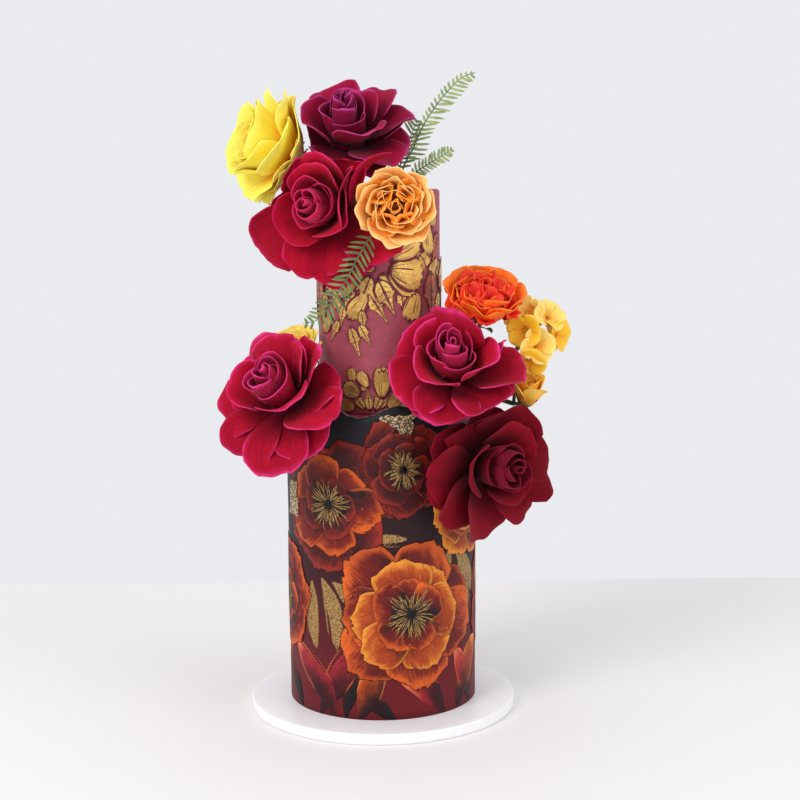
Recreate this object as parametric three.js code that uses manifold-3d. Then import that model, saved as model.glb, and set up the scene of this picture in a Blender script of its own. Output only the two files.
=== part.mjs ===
// A two-tier wedding cake on its round board, dressed with roses, full blooms, hydrangea, rosebuds and fern.
// Units are millimetres, +Z is up, the front faces -Y, and the origin is the middle of the board's underside.
import * as THREE from "three";
import { mergeVertices } from "three/addons/utils/BufferGeometryUtils.js";
import Module from "manifold-3d";

const wasm = await Module();
wasm.setup();

// Driving dimensions
const BOARD = { radius: 115, thickness: 9.5, edge: 1.2, sides: 40 };
const LOWER = { radius: 79.9, height: 254, edge: 3, sides: 44 };
const UPPER = { radius: 52, height: 185.5, edge: 2.5, sides: 32 };
const WRAP = { gap: 0.3, thickness: 0.8, rise: 13.5, sides: 44 };
const STENCIL = { relief: 1.3, root: 2.5 };
const STEM = { radius: 2, sides: 4 };
const CLEAR = 0.4;
const NEAR = 1e-4;
const COLOUR = {
  board: "#f1f0f2",
  icing: "#a2485a",
  print: "#4a1f24",
  velvet: "#9c1238",
  darkVelvet: "#7a0f20",
  yellow: "#f6d81f",
  apricot: "#f79b33",
  coral: "#f0521f",
  cream: "#f2cc6a",
  amber: "#f0a53a",
  fern: "#8fae78",
};

const LEDGE = BOARD.thickness + LOWER.height;
const TOP = LEDGE + UPPER.height;
const WRAP_INSIDE = LOWER.radius + WRAP.gap;
const WRAP_OUTSIDE = WRAP_INSIDE + WRAP.thickness;
const TURN = 2 * Math.PI;
const rad = THREE.MathUtils.degToRad;

// A repeatable draw from -1 to 1 for a seed and a place in its row.
function draw(seed, place) {
  const wave = Math.sin(seed * 12.9898 + place * 78.233) * 43758.5453;
  return 2 * (wave - Math.floor(wave)) - 1;
}

// Geometry to solid and back

function solid(geometry) {
  const bare = geometry.index ? geometry.toNonIndexed() : geometry.clone();
  bare.deleteAttribute("normal");
  bare.deleteAttribute("uv");
  const merged = mergeVertices(bare, NEAR);
  const corners = merged.index.array;
  const kept = [];
  for (let i = 0; i < corners.length; i += 3) {
    const [a, b, c] = [corners[i], corners[i + 1], corners[i + 2]];
    if (a !== b && b !== c && c !== a) kept.push(a, b, c);
  }
  const made = (triVerts) =>
    new wasm.Manifold(
      new wasm.Mesh({ numProp: 3, vertProperties: merged.attributes.position.array, triVerts }),
    );
  const shape = made(new Uint32Array(kept));
  return shape.volume() > 0 ? shape : made(new Uint32Array(kept.reverse()));
}

function joined(shapes) {
  return shapes.reduce((a, b) => a.add(b));
}

// The largest body of a solid: loose scraps go, and a sealed hollow is filled.
function mainBody(shape) {
  return shape.decompose().reduce((a, b) => (a.volume() > b.volume() ? a : b));
}

function named(name, shape, colour, roughness = 0.6) {
  const body = shape.getMesh();
  const geometry = new THREE.BufferGeometry();
  geometry.setAttribute("position", new THREE.BufferAttribute(body.vertProperties, 3));
  geometry.setIndex(new THREE.BufferAttribute(body.triVerts, 1));
  geometry.computeVertexNormals();
  const finish = new THREE.MeshStandardMaterial({ color: colour, roughness, metalness: 0 });
  const mesh = new THREE.Mesh(geometry, finish);
  mesh.name = name;
  return mesh;
}

// Moves every corner of a geometry by a function of its place.
function reshaped(geometry, place) {
  const at = geometry.attributes.position;
  const point = new THREE.Vector3();
  for (let i = 0; i < at.count; i++) {
    const moved = place(point.fromBufferAttribute(at, i));
    at.setXYZ(i, moved.x, moved.y, moved.z);
  }
  return geometry;
}

// A solid turned about Z from (radius, height) pairs that start and end on the axis.
function turned(profile, sides) {
  const points = profile.map(([r, z]) => new THREE.Vector2(r, z));
  return new THREE.LatheGeometry(points, sides).rotateX(Math.PI / 2);
}

function drum(radius, bottom, top, edge, sides) {
  return turned(
    [
      [0, bottom],
      [radius, bottom],
      [radius, top - edge],
      [radius - edge * 0.3, top - edge * 0.3],
      [radius - edge, top],
      [0, top],
    ],
    sides,
  );
}

function rod(points, radius, sides) {
  const route = new THREE.CatmullRomCurve3(points.map((p) => new THREE.Vector3(...p)));
  const round = new THREE.Shape().absarc(0, 0, radius, 0, TURN);
  return new THREE.ExtrudeGeometry(round, {
    extrudePath: route,
    steps: points.length > 2 ? Math.ceil(1.4 * (points.length - 1)) : 1,
    curveSegments: sides / 2,
    bevelEnabled: false,
  });
}

// Fences: soft walls that bend petals away from what they lie against

const FENCE_SOFTNESS = 2;

function eased(height) {
  if (height > 8 * FENCE_SOFTNESS) return height;
  return FENCE_SOFTNESS * Math.log(1 + Math.exp(height / FENCE_SOFTNESS));
}

// The outside of one tier, up to its top.
function can(radius, top) {
  return (p) => {
    const across = Math.hypot(p.x, p.y);
    const [beside, above] = [across - radius, p.z - top];
    if (above > beside) return [above, new THREE.Vector3(0, 0, 1)];
    return [beside, new THREE.Vector3(p.x / across, p.y / across, 0)];
  };
}

// The outside of a ball.
function ball(centre, radius) {
  const middle = new THREE.Vector3(...centre);
  return (p) => {
    const away = p.clone().sub(middle);
    return [away.length() - radius, away.normalize()];
  };
}

// The near side of a plane between this flower and another.
function short(own, other, share) {
  const here = new THREE.Vector3(...own);
  const there = new THREE.Vector3(...other);
  const foot = here.clone().lerp(there, share);
  const way = here.clone().sub(there).normalize();
  return (p) => [p.clone().sub(foot).dot(way), way];
}

function fenced(point, fences) {
  const moved = point.clone();
  for (const fence of fences) {
    const [height, way] = fence(moved);
    moved.addScaledVector(way, eased(height) - height);
  }
  return moved;
}

const UPPER_CAN = can(UPPER.radius + STENCIL.relief + 1.6, TOP + 1.5);
const LOWER_CAN = can(WRAP_OUTSIDE + 1.6, LEDGE + WRAP.rise);

// Petals

const PETAL = {
  start: 9,
  height: 0,
  turn: 0,
  wrap: 40,
  curl: 3,
  ruffle: 1,
  waves: 1.5,
  lift: 2.4,
  thickness: 1.3,
  phase: 0,
  across: 3,
  along: 2,
};
const LINE_STEPS = 24;
const ROLL_FROM = 0.7;

// The middle line of a petal in its own upright plane: distance out, height and lean at each step.
function petalLine(petal) {
  const line = [];
  let [out, up] = [petal.start, petal.height];
  for (let i = 0; i <= LINE_STEPS; i++) {
    const t = i / LINE_STEPS;
    const roll = petal.roll * Math.max(0, (t - ROLL_FROM) / (1 - ROLL_FROM));
    const lean = rad(petal.open + (petal.openTip - petal.open) * t ** 1.4 + roll);
    line.push({ out, up, lean });
    out += (Math.sin(lean) * petal.length) / LINE_STEPS;
    up += (Math.cos(lean) * petal.length) / LINE_STEPS;
  }
  return line;
}

// Half width along a petal, as a share of its widest.
function petalOutline(t) {
  const rise = 0.16 + 0.84 * Math.sin((Math.PI / 2) * Math.min(1, t / 0.62));
  const fall = Math.max(0, (t - 0.62) / 0.38);
  return rise * (1 - 0.3 * fall ** 2.2);
}

// A point of a petal: s runs across from -1 to 1, t from base to tip, h through the thickness.
function petalPoint(petal, line, s, t, h) {
  const along = t * (1 - 0.17 * Math.abs(s) ** 2.6);
  const step = Math.min(LINE_STEPS, along * LINE_STEPS);
  const [low, high] = [line[Math.floor(step)], line[Math.ceil(step)]];
  const mix = step - Math.floor(step);
  const [out, up, lean] = ["out", "up", "lean"].map((k) => low[k] + (high[k] - low[k]) * mix);
  const bend = (petal.width * petalOutline(along) * s) / petal.wrap;
  const rim = Math.max(0, (Math.abs(s) - 0.6) / 0.4);
  const wave = Math.sin(petal.waves * s * Math.PI + petal.phase) * petal.ruffle * along ** 3;
  const across = petal.wrap * Math.sin(bend);
  const cupped = -petal.wrap * (1 - Math.cos(bend));
  const proud = cupped + petal.curl * rim * rim * along + wave + petal.lift * s + h;
  const outward = out + Math.cos(lean) * proud;
  const [cos, sin] = [Math.cos(petal.around), Math.sin(petal.around)];
  return new THREE.Vector3(
    outward * cos - across * sin,
    outward * sin + across * cos,
    up - Math.sin(lean) * proud,
  );
}

function petalSolid(petal, frame, fences) {
  const line = petalLine(petal);
  const box = new THREE.BoxGeometry(2, 1, petal.thickness, petal.across, petal.along, 1);
  return solid(
    reshaped(box, ({ x: s, y, z: h }) => {
      const middle = petalPoint(petal, line, s, y + 0.5, 0).applyMatrix4(frame);
      const shift = fenced(middle, fences).sub(middle);
      return petalPoint(petal, line, s, y + 0.5, h).applyMatrix4(frame).add(shift);
    }),
  );
}

// Flowers

// A flower stands at its base and faces a direction, with its own right and up.
function flowerFrame(flower) {
  const facing = new THREE.Vector3(...flower.facing).normalize();
  const right = new THREE.Vector3(0, 0, 1).cross(facing).normalize();
  const up = facing.clone().cross(right);
  return new THREE.Matrix4()
    .makeBasis(right, up, facing)
    .scale(new THREE.Vector3(flower.size, flower.size, flower.size))
    .setPosition(...flower.base);
}

function flowerPoint(flower, height) {
  return new THREE.Vector3(0, 0, height).applyMatrix4(flowerFrame(flower)).toArray();
}

// One ring of petals, a little uneven.
function ring(flower, layer, rank) {
  const seed = flower.seed + rank * 17;
  const petals = [];
  for (let i = 0; i < layer.count; i++) {
    petals.push({
      ...layer,
      around: rad(flower.spin + layer.turn + (360 / layer.count) * i + 9 * draw(seed, i)),
      open: layer.open + 4 * draw(seed, i + 10),
      openTip: layer.openTip + 8 * draw(seed, i + 20),
      length: layer.length * (1 + 0.07 * draw(seed, i + 30)),
      width: layer.width * (1 + 0.08 * draw(seed, i + 40)),
      phase: 3 * draw(seed, i + 50),
    });
  }
  return petals;
}

// Petals placed one by one: direction, length, half width, lean at the base and at the tip.
function placed(flower, layer, rows) {
  return rows.map(([around, length, width, open, openTip], i) => ({
    ...layer,
    around: rad(around),
    length,
    width,
    open,
    openTip,
    phase: 3 * draw(flower.seed, i + 70),
  }));
}

// The tiers with a little room all round, which no flower enters.
const TIERS_AND_ROOM = solid(drum(WRAP_OUTSIDE + CLEAR, BOARD.thickness, LEDGE + CLEAR, LOWER.edge, UPPER.sides)).add(
  solid(drum(UPPER.radius + STENCIL.relief + CLEAR, LEDGE, TOP + CLEAR, UPPER.edge, UPPER.sides)),
);

// Petals and a heart on one stem that runs back to the cake.
function flowerSolid(flower, petals, heart, fences, stem = STEM) {
  const frame = flowerFrame(flower);
  const parts = petals.map((petal) => petalSolid(petal, frame, fences));
  parts.push(solid(turned(heart, BUD_SIDES).applyMatrix4(frame)));
  const low = heart[0][1];
  const route = [flowerPoint(flower, low + 4), flowerPoint(flower, low - 3), ...flower.stem];
  parts.push(solid(rod(route, stem.radius, stem.sides)));
  return mainBody(joined(parts).subtract(TIERS_AND_ROOM));
}

// Roses

// Half the gap that a fern's rib passes through, between the petals of a rose.
const FERN_ROOM = 3;
const ROSE_RINGS = [
  { ...PETAL, count: 3, turn: 60, height: 3, length: 44, width: 24, open: 34, openTip: 24, roll: 42, wrap: 25, across: 2 },
];
const ROSE_SPREAD = { ...PETAL, roll: 40, wrap: 52, ruffle: 2, curl: 4, height: -1 };
const ROSE_BUD = [
  [0, -9],
  [9, -8],
  [15.5, -2],
  [17, 8],
  [16.5, 18],
  [13, 36],
  [0, 44],
];
const BUD_SIDES = 6;

const ROSES = {
  rose_top: {
    base: [-24, -13, 488],
    facing: [-0.06, -0.6, 0.8],
    size: 1,
    spin: 10,
    seed: 3,
    colour: COLOUR.velvet,
    stem: [[-15, -7, TOP + CLEAR]],
    spread: [
      [20, 52, 27, 62, 80],
      [68, 54, 28, 60, 78],
      [118, 54, 28, 62, 76],
      [168, 46, 26, 70, 88],
      [212, 50, 26, 76, 88],
      [262, 46, 27, 74, 92],
      [318, 50, 27, 72, 90],
    ],
  },
  rose_front: {
    base: [-39, -45, 435],
    facing: [-0.42, -0.9, 0.12],
    size: 1,
    spin: 35,
    seed: 5,
    colour: COLOUR.velvet,
    stem: [[-35.3, -41.1, 434]],
    spread: [
      [95, 47, 29, 45, 40],
      [12, 46, 27, 48, 44],
      [150, 54, 28, 64, 72],
      [214, 64, 28, 72, 88],
      [266, 52, 29, 66, 84],
      [288, 58, 26, 84, 98],
      [332, 62, 25, 84, 92],
      [38, 60, 24, 82, 90],
    ],
    passage: [[4, -52, 429], [0, -66, 421], [-8, -77, 409]],
  },
  rose_yellow: {
    base: [-72, -10, 479],
    facing: [-0.86, -0.4, 0.3],
    size: 1.06,
    spin: 20,
    seed: 7,
    colour: COLOUR.yellow,
    stem: [[-50, -1, 465], [-38, 3, TOP + CLEAR]],
    spread: [
      [0, 50, 27, 44, 60],
      [60, 48, 26, 48, 66],
      [118, 48, 27, 46, 58],
      [180, 48, 26, 50, 64],
      [240, 48, 26, 48, 62],
      [305, 50, 26, 52, 70],
    ],
  },
  rose_left: {
    base: [-76, -66, 278],
    facing: [-0.4, -0.62, 0.67],
    size: 1,
    spin: 15,
    seed: 11,
    colour: COLOUR.velvet,
    stem: [[-68, -59, 268], [-61.6, -53.6, 258]],
    spread: [
      [96, 52, 30, 44, 40],
      [56, 54, 27, 52, 50],
      [138, 54, 27, 54, 56],
      [202, 60, 28, 76, 104],
      [246, 52, 28, 84, 112],
      [284, 58, 28, 92, 118],
      [343, 54, 28, 72, 88],
    ],
  },
  rose_right: {
    base: [60, -70, 300],
    facing: [0, -0.72, 0.69],
    size: 1,
    spin: 50,
    seed: 13,
    colour: COLOUR.velvet,
    stem: [[54, -50, 281], [48, -42, LEDGE + CLEAR]],
    spread: [
      [92, 50, 28, 48, 48],
      [46, 52, 27, 54, 58],
      [142, 50, 27, 56, 60],
      [352, 54, 28, 66, 80],
      [216, 51, 28, 70, 86],
      [262, 48, 28, 76, 96],
      [308, 50, 28, 76, 94],
    ],
  },
  rose_dark: {
    base: [83, -71, 225],
    facing: [0.62, -0.78, 0],
    size: 1,
    spin: 5,
    seed: 17,
    colour: COLOUR.darkVelvet,
    stem: [[63.2, -51.8, 225]],
    spread: [
      [72, 54, 29, 56, 50],
      [352, 60, 29, 66, 78],
      [318, 54, 27, 70, 84],
      [268, 56, 28, 78, 92],
      [232, 52, 25, 84, 94],
      [186, 52, 27, 80, 86],
      [122, 50, 26, 70, 76],
    ],
  },
};

// Full blooms with many short petals

const BLOOM_RINGS = [
  { ...PETAL, count: 4, start: 9, height: 3, length: 21, width: 13, open: 16, openTip: -4, roll: 12, wrap: 14, across: 2, along: 1 },
  { ...PETAL, count: 5, turn: 30, start: 8, height: 1, length: 30, width: 19, open: 54, openTip: 18, roll: 14, wrap: 22, across: 2 },
];
const BLOOM_HEART = [
  [0, -7],
  [9, -6],
  [14.5, -1],
  [16, 8],
  [15, 16],
  [0, 21],
];

const BLOOMS = {
  bloom_apricot: {
    base: [14, -70, 436],
    facing: [0.03, -1, 0.02],
    size: 1.1,
    spin: 6,
    seed: 19,
    colour: COLOUR.apricot,
    stem: [[12.5, -53.6, 436]],
  },
  bloom_coral: {
    base: [85, -42, 345],
    facing: [0.1, -0.55, 0.83],
    size: 1.13,
    spin: 20,
    seed: 23,
    colour: COLOUR.coral,
    stem: [[76, -26, 310], [62, -20, LEDGE + CLEAR]],
  },
  bloom_yellow: {
    base: [-72, -30, 301],
    facing: [-0.15, -0.5, 0.85],
    size: 0.84,
    spin: 12,
    seed: 29,
    colour: COLOUR.yellow,
    stem: [[-66, -20, 282], [-62, -16, LEDGE + CLEAR]],
  },
};

// Where each flower's middle is, for the fences between neighbours.
const ROSE_MIDDLE = 22;
const BLOOM_MIDDLE = 13;
const BLOOM_REACH = 35;

const roseMiddle = (name) => flowerPoint(ROSES[name], ROSE_MIDDLE);
const between = (own, other, share) => short(roseMiddle(own), roseMiddle(other), share);
const pastBloom = (name) => ball(flowerPoint(BLOOMS[name], BLOOM_MIDDLE), BLOOM_REACH * BLOOMS[name].size);

const FENCES = {
  rose_top: [between("rose_top", "rose_front", 0.5), between("rose_top", "rose_yellow", 0.5)],
  rose_front: [
    between("rose_front", "rose_top", 0.49),
    between("rose_front", "rose_yellow", 0.5),
    pastBloom("bloom_apricot"),
  ],
  rose_yellow: [between("rose_yellow", "rose_front", 0.49), between("rose_yellow", "rose_top", 0.49)],
  rose_left: [pastBloom("bloom_yellow")],
  rose_right: [between("rose_right", "rose_dark", 0.5), pastBloom("bloom_coral")],
  rose_dark: [between("rose_dark", "rose_right", 0.49)],
};

function rose(name) {
  const flower = ROSES[name];
  const rings = ROSE_RINGS.flatMap((layer, rank) => ring(flower, layer, rank));
  const petals = [...rings, ...placed(flower, ROSE_SPREAD, flower.spread)];
  const shape = flowerSolid(flower, petals, ROSE_BUD, [...FENCES[name], LOWER_CAN, UPPER_CAN]);
  return flower.passage ? mainBody(shape.subtract(solid(rod(flower.passage, FERN_ROOM, STEM.sides)))) : shape;
}

function bloom(name) {
  const flower = BLOOMS[name];
  const petals = BLOOM_RINGS.flatMap((layer, rank) => ring(flower, layer, rank));
  return flowerSolid(flower, petals, BLOOM_HEART, [LOWER_CAN, UPPER_CAN]);
}

// Hydrangea: four-petalled florets on thin stalks from one hub

const FLORET = { reach: 13.5, width: 13, waist: 2.4, cup: 0.022, thickness: 1 };
const STALK = { radius: 1.1, sides: 4 };
const HYDRANGEA_HUB = [127, -30, 328];
const HYDRANGEA_STEM = [HYDRANGEA_HUB, [104, -24, 302], [80, -17, 280], [71, -15, LEDGE + 3 * CLEAR]];
const FLORETS = [
  { base: [124, -40, 352], facing: [0, -0.8, 0.6], spin: 20 },
  { base: [121, -50, 334], facing: [-0.3, -0.9, -0.2], spin: 55 },
  { base: [138, -40, 349], facing: [0.4, -0.65, 0.6], spin: 5 },
  { base: [147, -38, 328], facing: [0.75, -0.6, -0.1], spin: 40 },
  { base: [129, -50, 321], facing: [0.2, -0.95, 0.1], spin: 15 },
  { base: [125, -52, 309], facing: [-0.1, -0.85, -0.5], spin: 60 },
];

// Four rounded petals in one thin plate, cupped towards the face.
function floretSolid(frame) {
  const outline = [];
  for (let i = 0; i < 4; i++) {
    const way = new THREE.Vector2(Math.cos((i * TURN) / 4), Math.sin((i * TURN) / 4));
    const aside = new THREE.Vector2(-way.y, way.x);
    const at = (out, off) => way.clone().multiplyScalar(out).addScaledVector(aside, off * FLORET.width);
    outline.push(at(FLORET.waist, -0.18), at(FLORET.reach * 0.6, -0.5));
    outline.push(at(FLORET.reach, -0.2), at(FLORET.reach, 0.2), at(FLORET.reach * 0.6, 0.5));
  }
  const slab = new THREE.ExtrudeGeometry(new THREE.Shape(outline), { depth: FLORET.thickness, bevelEnabled: false });
  const cupped = (p) => p.setZ(p.z - FLORET.thickness / 2 + FLORET.cup * (p.x * p.x + p.y * p.y));
  return solid(reshaped(slab, (p) => cupped(p).applyMatrix4(frame)));
}

function hydrangea() {
  const parts = [solid(rod(HYDRANGEA_STEM, STEM.radius, STEM.sides))];
  for (const place of FLORETS) {
    const flower = { ...place, size: 1 };
    const frame = flowerFrame(flower).multiply(new THREE.Matrix4().makeRotationZ(rad(flower.spin)));
    parts.push(floretSolid(frame));
    parts.push(solid(rod([HYDRANGEA_HUB, flowerPoint(flower, 0.3)], STALK.radius, STALK.sides)));
  }
  return mainBody(joined(parts));
}

// Rosebuds: two small buds on one stem

const ROSEBUD_RING = {
  ...PETAL,
  count: 4,
  start: 5,
  height: 2,
  length: 25,
  width: 11,
  open: 26,
  openTip: 10,
  roll: 40,
  wrap: 13,
  ruffle: 0.6,
  thickness: 1.1,
  across: 2,
};
const ROSEBUD_HEART = [
  [0, -6],
  [7, 3],
  [8, 16],
  [0, 22],
];
const ROSEBUDS = [
  { base: [121, -54, 272], facing: [0.12, -0.4, 0.91], size: 1, spin: 15, seed: 41 },
  { base: [114, -36, 290], facing: [0.2, -0.3, 0.93], size: 0.6, spin: 50, seed: 43 },
];
const ROSEBUD_FORK = [112, -44, 271];
const ROSEBUD_STEM = [[92, -34, 276], [81, -29, 275.5], [73, -25.5, LEDGE + 3 * CLEAR]];

function rosebuds() {
  const parts = [solid(rod([ROSEBUD_FORK, ...ROSEBUD_STEM], STEM.radius, STEM.sides))];
  for (const bud of ROSEBUDS) {
    const frame = flowerFrame(bud);
    parts.push(...ring(bud, ROSEBUD_RING, 0).map((petal) => petalSolid(petal, frame, [])));
    parts.push(solid(turned(ROSEBUD_HEART, 5).applyMatrix4(frame)));
    parts.push(solid(rod([flowerPoint(bud, 0), ROSEBUD_FORK], STEM.radius * 0.8, STEM.sides)));
  }
  return mainBody(joined(parts));
}

// Fern fronds: a bent rib with leaflets in pairs that shorten to the tip

const FROND = { rib: 0.9, leaflet: 13, width: 3.4, thickness: 1.1, sweep: 58, step: 9 };
const FERNS = {
  fern_tall: {
    rib: [[17, -6, TOP + CLEAR], [22, -4, 468], [30, -3, 483], [37, -3, 499], [47, -4, 515], [59, -5, 530], [71, -7, 541], [82, -9, 545]],
    pairs: 11, from: 0.24, left: 0.45, right: 1,
  },
  fern_back: { rib: [[11, 0, TOP + CLEAR], [18, 0, 466], [24, 1, 484], [34, 0, 507]], pairs: 8, from: 0.34, left: 0.9, right: 0.9 },
  fern_right: { rib: [[22, -9, TOP + 3 * CLEAR], [31, -9, 462], [46, -10, 472], [63, -11, 482]], pairs: 8, from: 0.3, left: 0.6, right: 0.6 },
  fern_left: { rib: [[10, -12, TOP + CLEAR], [7, -13, 460], [0, -14, 467], [-9, -14, 471]], pairs: 6, from: 0.3, left: 0.6, right: 0.6 },
  fern_hanging: {
    rib: [[3.5, -54.2, 428], [0, -66, 421], [-8, -77, 409], [-17, -80, 394], [-26, -79, 377], [-37, -77, 360], [-49, -76, 346], [-61, -76, 343]],
    pairs: 11, from: 0.26, left: 1, right: 1,
  },
};

// Leaflet length along a frond, as a share: short at the foot, longest before the middle, short at the tip.
function frondShare(place) {
  return Math.min(1, 1.5 * Math.sin(Math.PI * (0.18 + 0.74 * place)));
}

// A flat slab over polygons that share their edges, each split alike on both faces, with a wall round the outside.
function slab(polygons, thickness) {
  const walls = new Map();
  for (const polygon of polygons) {
    polygon.forEach((start, i) => {
      const end = polygon[(i + 1) % polygon.length];
      if (!walls.delete(`${end} ${start}`)) walls.set(`${start} ${end}`, [start, end]);
    });
  }
  const faces = polygons.flatMap((polygon) => [
    polygon.map((p) => [...p, thickness]),
    [polygon[0], ...polygon.slice(1).reverse()].map((p) => [...p, 0]),
  ]);
  for (const [start, end] of walls.values()) {
    faces.push([[...start, 0], [...end, 0], [...end, thickness], [...start, thickness]]);
  }
  const corners = faces.flatMap((face) => face.slice(2).flatMap((p, i) => [face[0], face[i + 1], p]));
  return new THREE.BufferGeometry().setAttribute("position", new THREE.Float32BufferAttribute(corners.flat(), 3));
}

// A frond is one thin toothed blade, drawn flat along its rib and then bent to the rib's route.
function fern(name) {
  const frond = FERNS[name];
  const route = new THREE.CatmullRomCurve3(frond.rib.map((p) => new THREE.Vector3(...p)));
  const length = route.getLength();
  const bare = frond.from * length;
  const sweep = rad(FROND.sweep);
  const half = Math.min(FROND.width, (length - bare) / frond.pairs - 1) / 2;
  const rib = (from, to) => [[from, -FROND.rib], [to, -FROND.rib], [to, FROND.rib], [from, FROND.rib]];
  const polygons = [];
  let reached = 0;
  for (let x = FROND.step; x < bare - FROND.step / 2; x += FROND.step) {
    polygons.push(rib(reached, x));
    reached = x;
  }
  for (let i = 0; i < frond.pairs; i++) {
    const place = i / (frond.pairs - 1);
    const root = bare + (length * 0.96 - bare) * place;
    polygons.push(rib(reached, root - half), rib(root - half, root + half));
    reached = root + half;
    for (const [hand, share] of [[-1, frond.right], [1, frond.left]]) {
      const reach = FROND.leaflet * share * frondShare(place) * (1 + 0.1 * draw(i, hand));
      const [along, aside] = [Math.cos(sweep) * reach, Math.sin(sweep) * reach];
      const leaflet = [
        [root - half, hand * FROND.rib],
        [root + half, hand * FROND.rib],
        [root + along + half * 0.6, hand * (FROND.rib + aside * 0.96)],
        [root + along - half * 0.5, hand * (FROND.rib + aside)],
      ];
      polygons.push(hand > 0 ? leaflet : leaflet.reverse());
    }
  }
  polygons.push([[reached, -FROND.rib], [length * 1.01, 0], [reached, FROND.rib]]);
  return solid(
    reshaped(slab(polygons, FROND.thickness), (p) => {
      const along = Math.min(1, p.x / length);
      const tangent = route.getTangentAt(along);
      const normal = new THREE.Vector3(0, -1, 0).addScaledVector(tangent, tangent.y).normalize();
      const aside = normal.clone().cross(tangent);
      const wave = 0.5 * Math.sin(p.x * 0.9) * Math.min(1, Math.abs(p.y) / 4);
      return route
        .getPointAt(along)
        .addScaledVector(tangent, p.x - along * length)
        .addScaledVector(aside, p.y)
        .addScaledVector(normal, p.z + wave - FROND.thickness / 2);
    }),
  );
}

// Cake and board

function board() {
  return solid(drum(BOARD.radius, 0, BOARD.thickness, BOARD.edge, BOARD.sides));
}

function lowerTier() {
  return solid(drum(LOWER.radius, BOARD.thickness, LEDGE, LOWER.edge, LOWER.sides));
}

// Height of the print's hand-cut top edge at an angle from the front, which dips where stems cross it.
function cutEdge(angle) {
  const bump = (middle, spread) => Math.exp(-(((angle - middle) / spread) ** 2));
  const front = 9 * bump(-29, 9) + 8 * bump(11, 14) + 3 * bump(44, 8);
  return LEDGE + 2.4 + front + 0.8 * Math.sin(rad(5 * angle)) + 0.6 * Math.sin(rad(9 * angle));
}

function printWrap() {
  const bottom = BOARD.thickness + WRAP.gap;
  const outline = [
    [WRAP_OUTSIDE, bottom],
    [WRAP_OUTSIDE, LEDGE],
    [WRAP_INSIDE, LEDGE],
    [WRAP_INSIDE, bottom],
    [WRAP_OUTSIDE, bottom],
  ];
  const sheet = reshaped(turned(outline, WRAP.sides), (p) => {
    if (p.z < LEDGE - 1) return p;
    return p.setZ(cutEdge(THREE.MathUtils.radToDeg(Math.atan2(p.x, -p.y))));
  });
  return solid(sheet);
}

// The stencilled ornament on the upper tier: petals and leaves as thin raised plates.
// Each row: across from the middle and above the ledge of its base, direction, length, width.
const STENCIL_SPRAY = [
  [9, 121, -12, 33, 26],
  [10, 130, 27, 31, 17],
  [0, 113, -66, 31, 15],
  [-9, 104, -59, 30, 12],
  [34, 103, -108, 27, 17],
  [50, 118, -88, 42, 17],
  [-9, 102, -127, 28, 14],
  [-24, 74, -72, 25, 9],
  [-16, 76, -62, 19, 8],
  [-36, 128, -110, 29, 16],
  [-44, 83, -127, 20, 10],
  [-35, 79, -118, 20, 7],
  [-10, 115, -145, 17, 9],
  [44, 160, -80, 30, 15],
  [56, 176, -100, 22, 12],
];
const STENCIL_TURNS = [127, 234];
const STENCIL_LARGE = 30;
const STENCIL_FOOT = [
  [-16, 16, 150, 17, 15],
  [-9, 22, 122, 15, 10],
  [2, 12, 88, 22, 16],
];
const STENCIL_FOOT_TURNS = [90, 180, 270];

// Half width of a plate at its base, middle and tip, as a share of its width.
const PLATE_OUTLINE = [0.16, 0.5, 0.12];

function plate([across, height, direction, length, width], turn) {
  const way = rad(direction);
  const depth = STENCIL.root + STENCIL.relief;
  const box = new THREE.BoxGeometry(2, 1, depth, 2, 2, 1);
  return solid(
    reshaped(box, (p) => {
      const share = p.y + 0.5;
      const aside = p.x * width * PLATE_OUTLINE[Math.round(2 * share)];
      const along = share * length * (1 - 0.12 * Math.abs(p.x));
      const angle = rad(turn) + (across + along * Math.cos(way) - aside * Math.sin(way)) / UPPER.radius;
      const radius = UPPER.radius + p.z + (STENCIL.relief - STENCIL.root) / 2;
      const rise = height + along * Math.sin(way) + aside * Math.cos(way);
      return new THREE.Vector3(radius * Math.sin(angle), -radius * Math.cos(angle), LEDGE + Math.max(1, rise));
    }),
  );
}

function upperTier() {
  const large = STENCIL_SPRAY.filter(([, , , length]) => length > STENCIL_LARGE);
  const sprays = [
    ...STENCIL_SPRAY.map((row) => plate(row, 0)),
    ...STENCIL_TURNS.flatMap((turn) => large.map((row) => plate(row, turn))),
  ];
  const foot = [
    ...STENCIL_FOOT.map((row) => plate(row, 0)),
    ...STENCIL_FOOT_TURNS.map((turn) => plate(STENCIL_FOOT[0], turn)),
  ];
  return mainBody(joined([solid(drum(UPPER.radius, LEDGE, TOP, UPPER.edge, UPPER.sides)), ...sprays, ...foot]));
}

const cake = new THREE.Group();
cake.add(named("board", board(), COLOUR.board, 0.5));
cake.add(named("lower_tier", lowerTier(), COLOUR.icing));
cake.add(named("print_wrap", printWrap(), COLOUR.print, 0.7));
cake.add(named("upper_tier", upperTier(), COLOUR.icing));
for (const name of Object.keys(ROSES)) cake.add(named(name, rose(name), ROSES[name].colour, 0.85));
for (const name of Object.keys(BLOOMS)) cake.add(named(name, bloom(name), BLOOMS[name].colour));
cake.add(named("hydrangea", hydrangea(), COLOUR.cream));
cake.add(named("rosebuds", rosebuds(), COLOUR.amber));
for (const name of Object.keys(FERNS)) cake.add(named(name, fern(name), COLOUR.fern));

export default cake;
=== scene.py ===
"""A two-tier wedding cake on a round board, dressed with velvet roses, full blooms, hydrangea and fern.

Shapes are worked out in millimetres, as the cake's maker measures them, and laid down in metres.
The front of the cake faces -Y, +X is the viewer's right, and the origin is under the middle of the board.
"""

import math

import bmesh
import bpy
import numpy as np
from mathutils import Matrix, Vector


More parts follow.
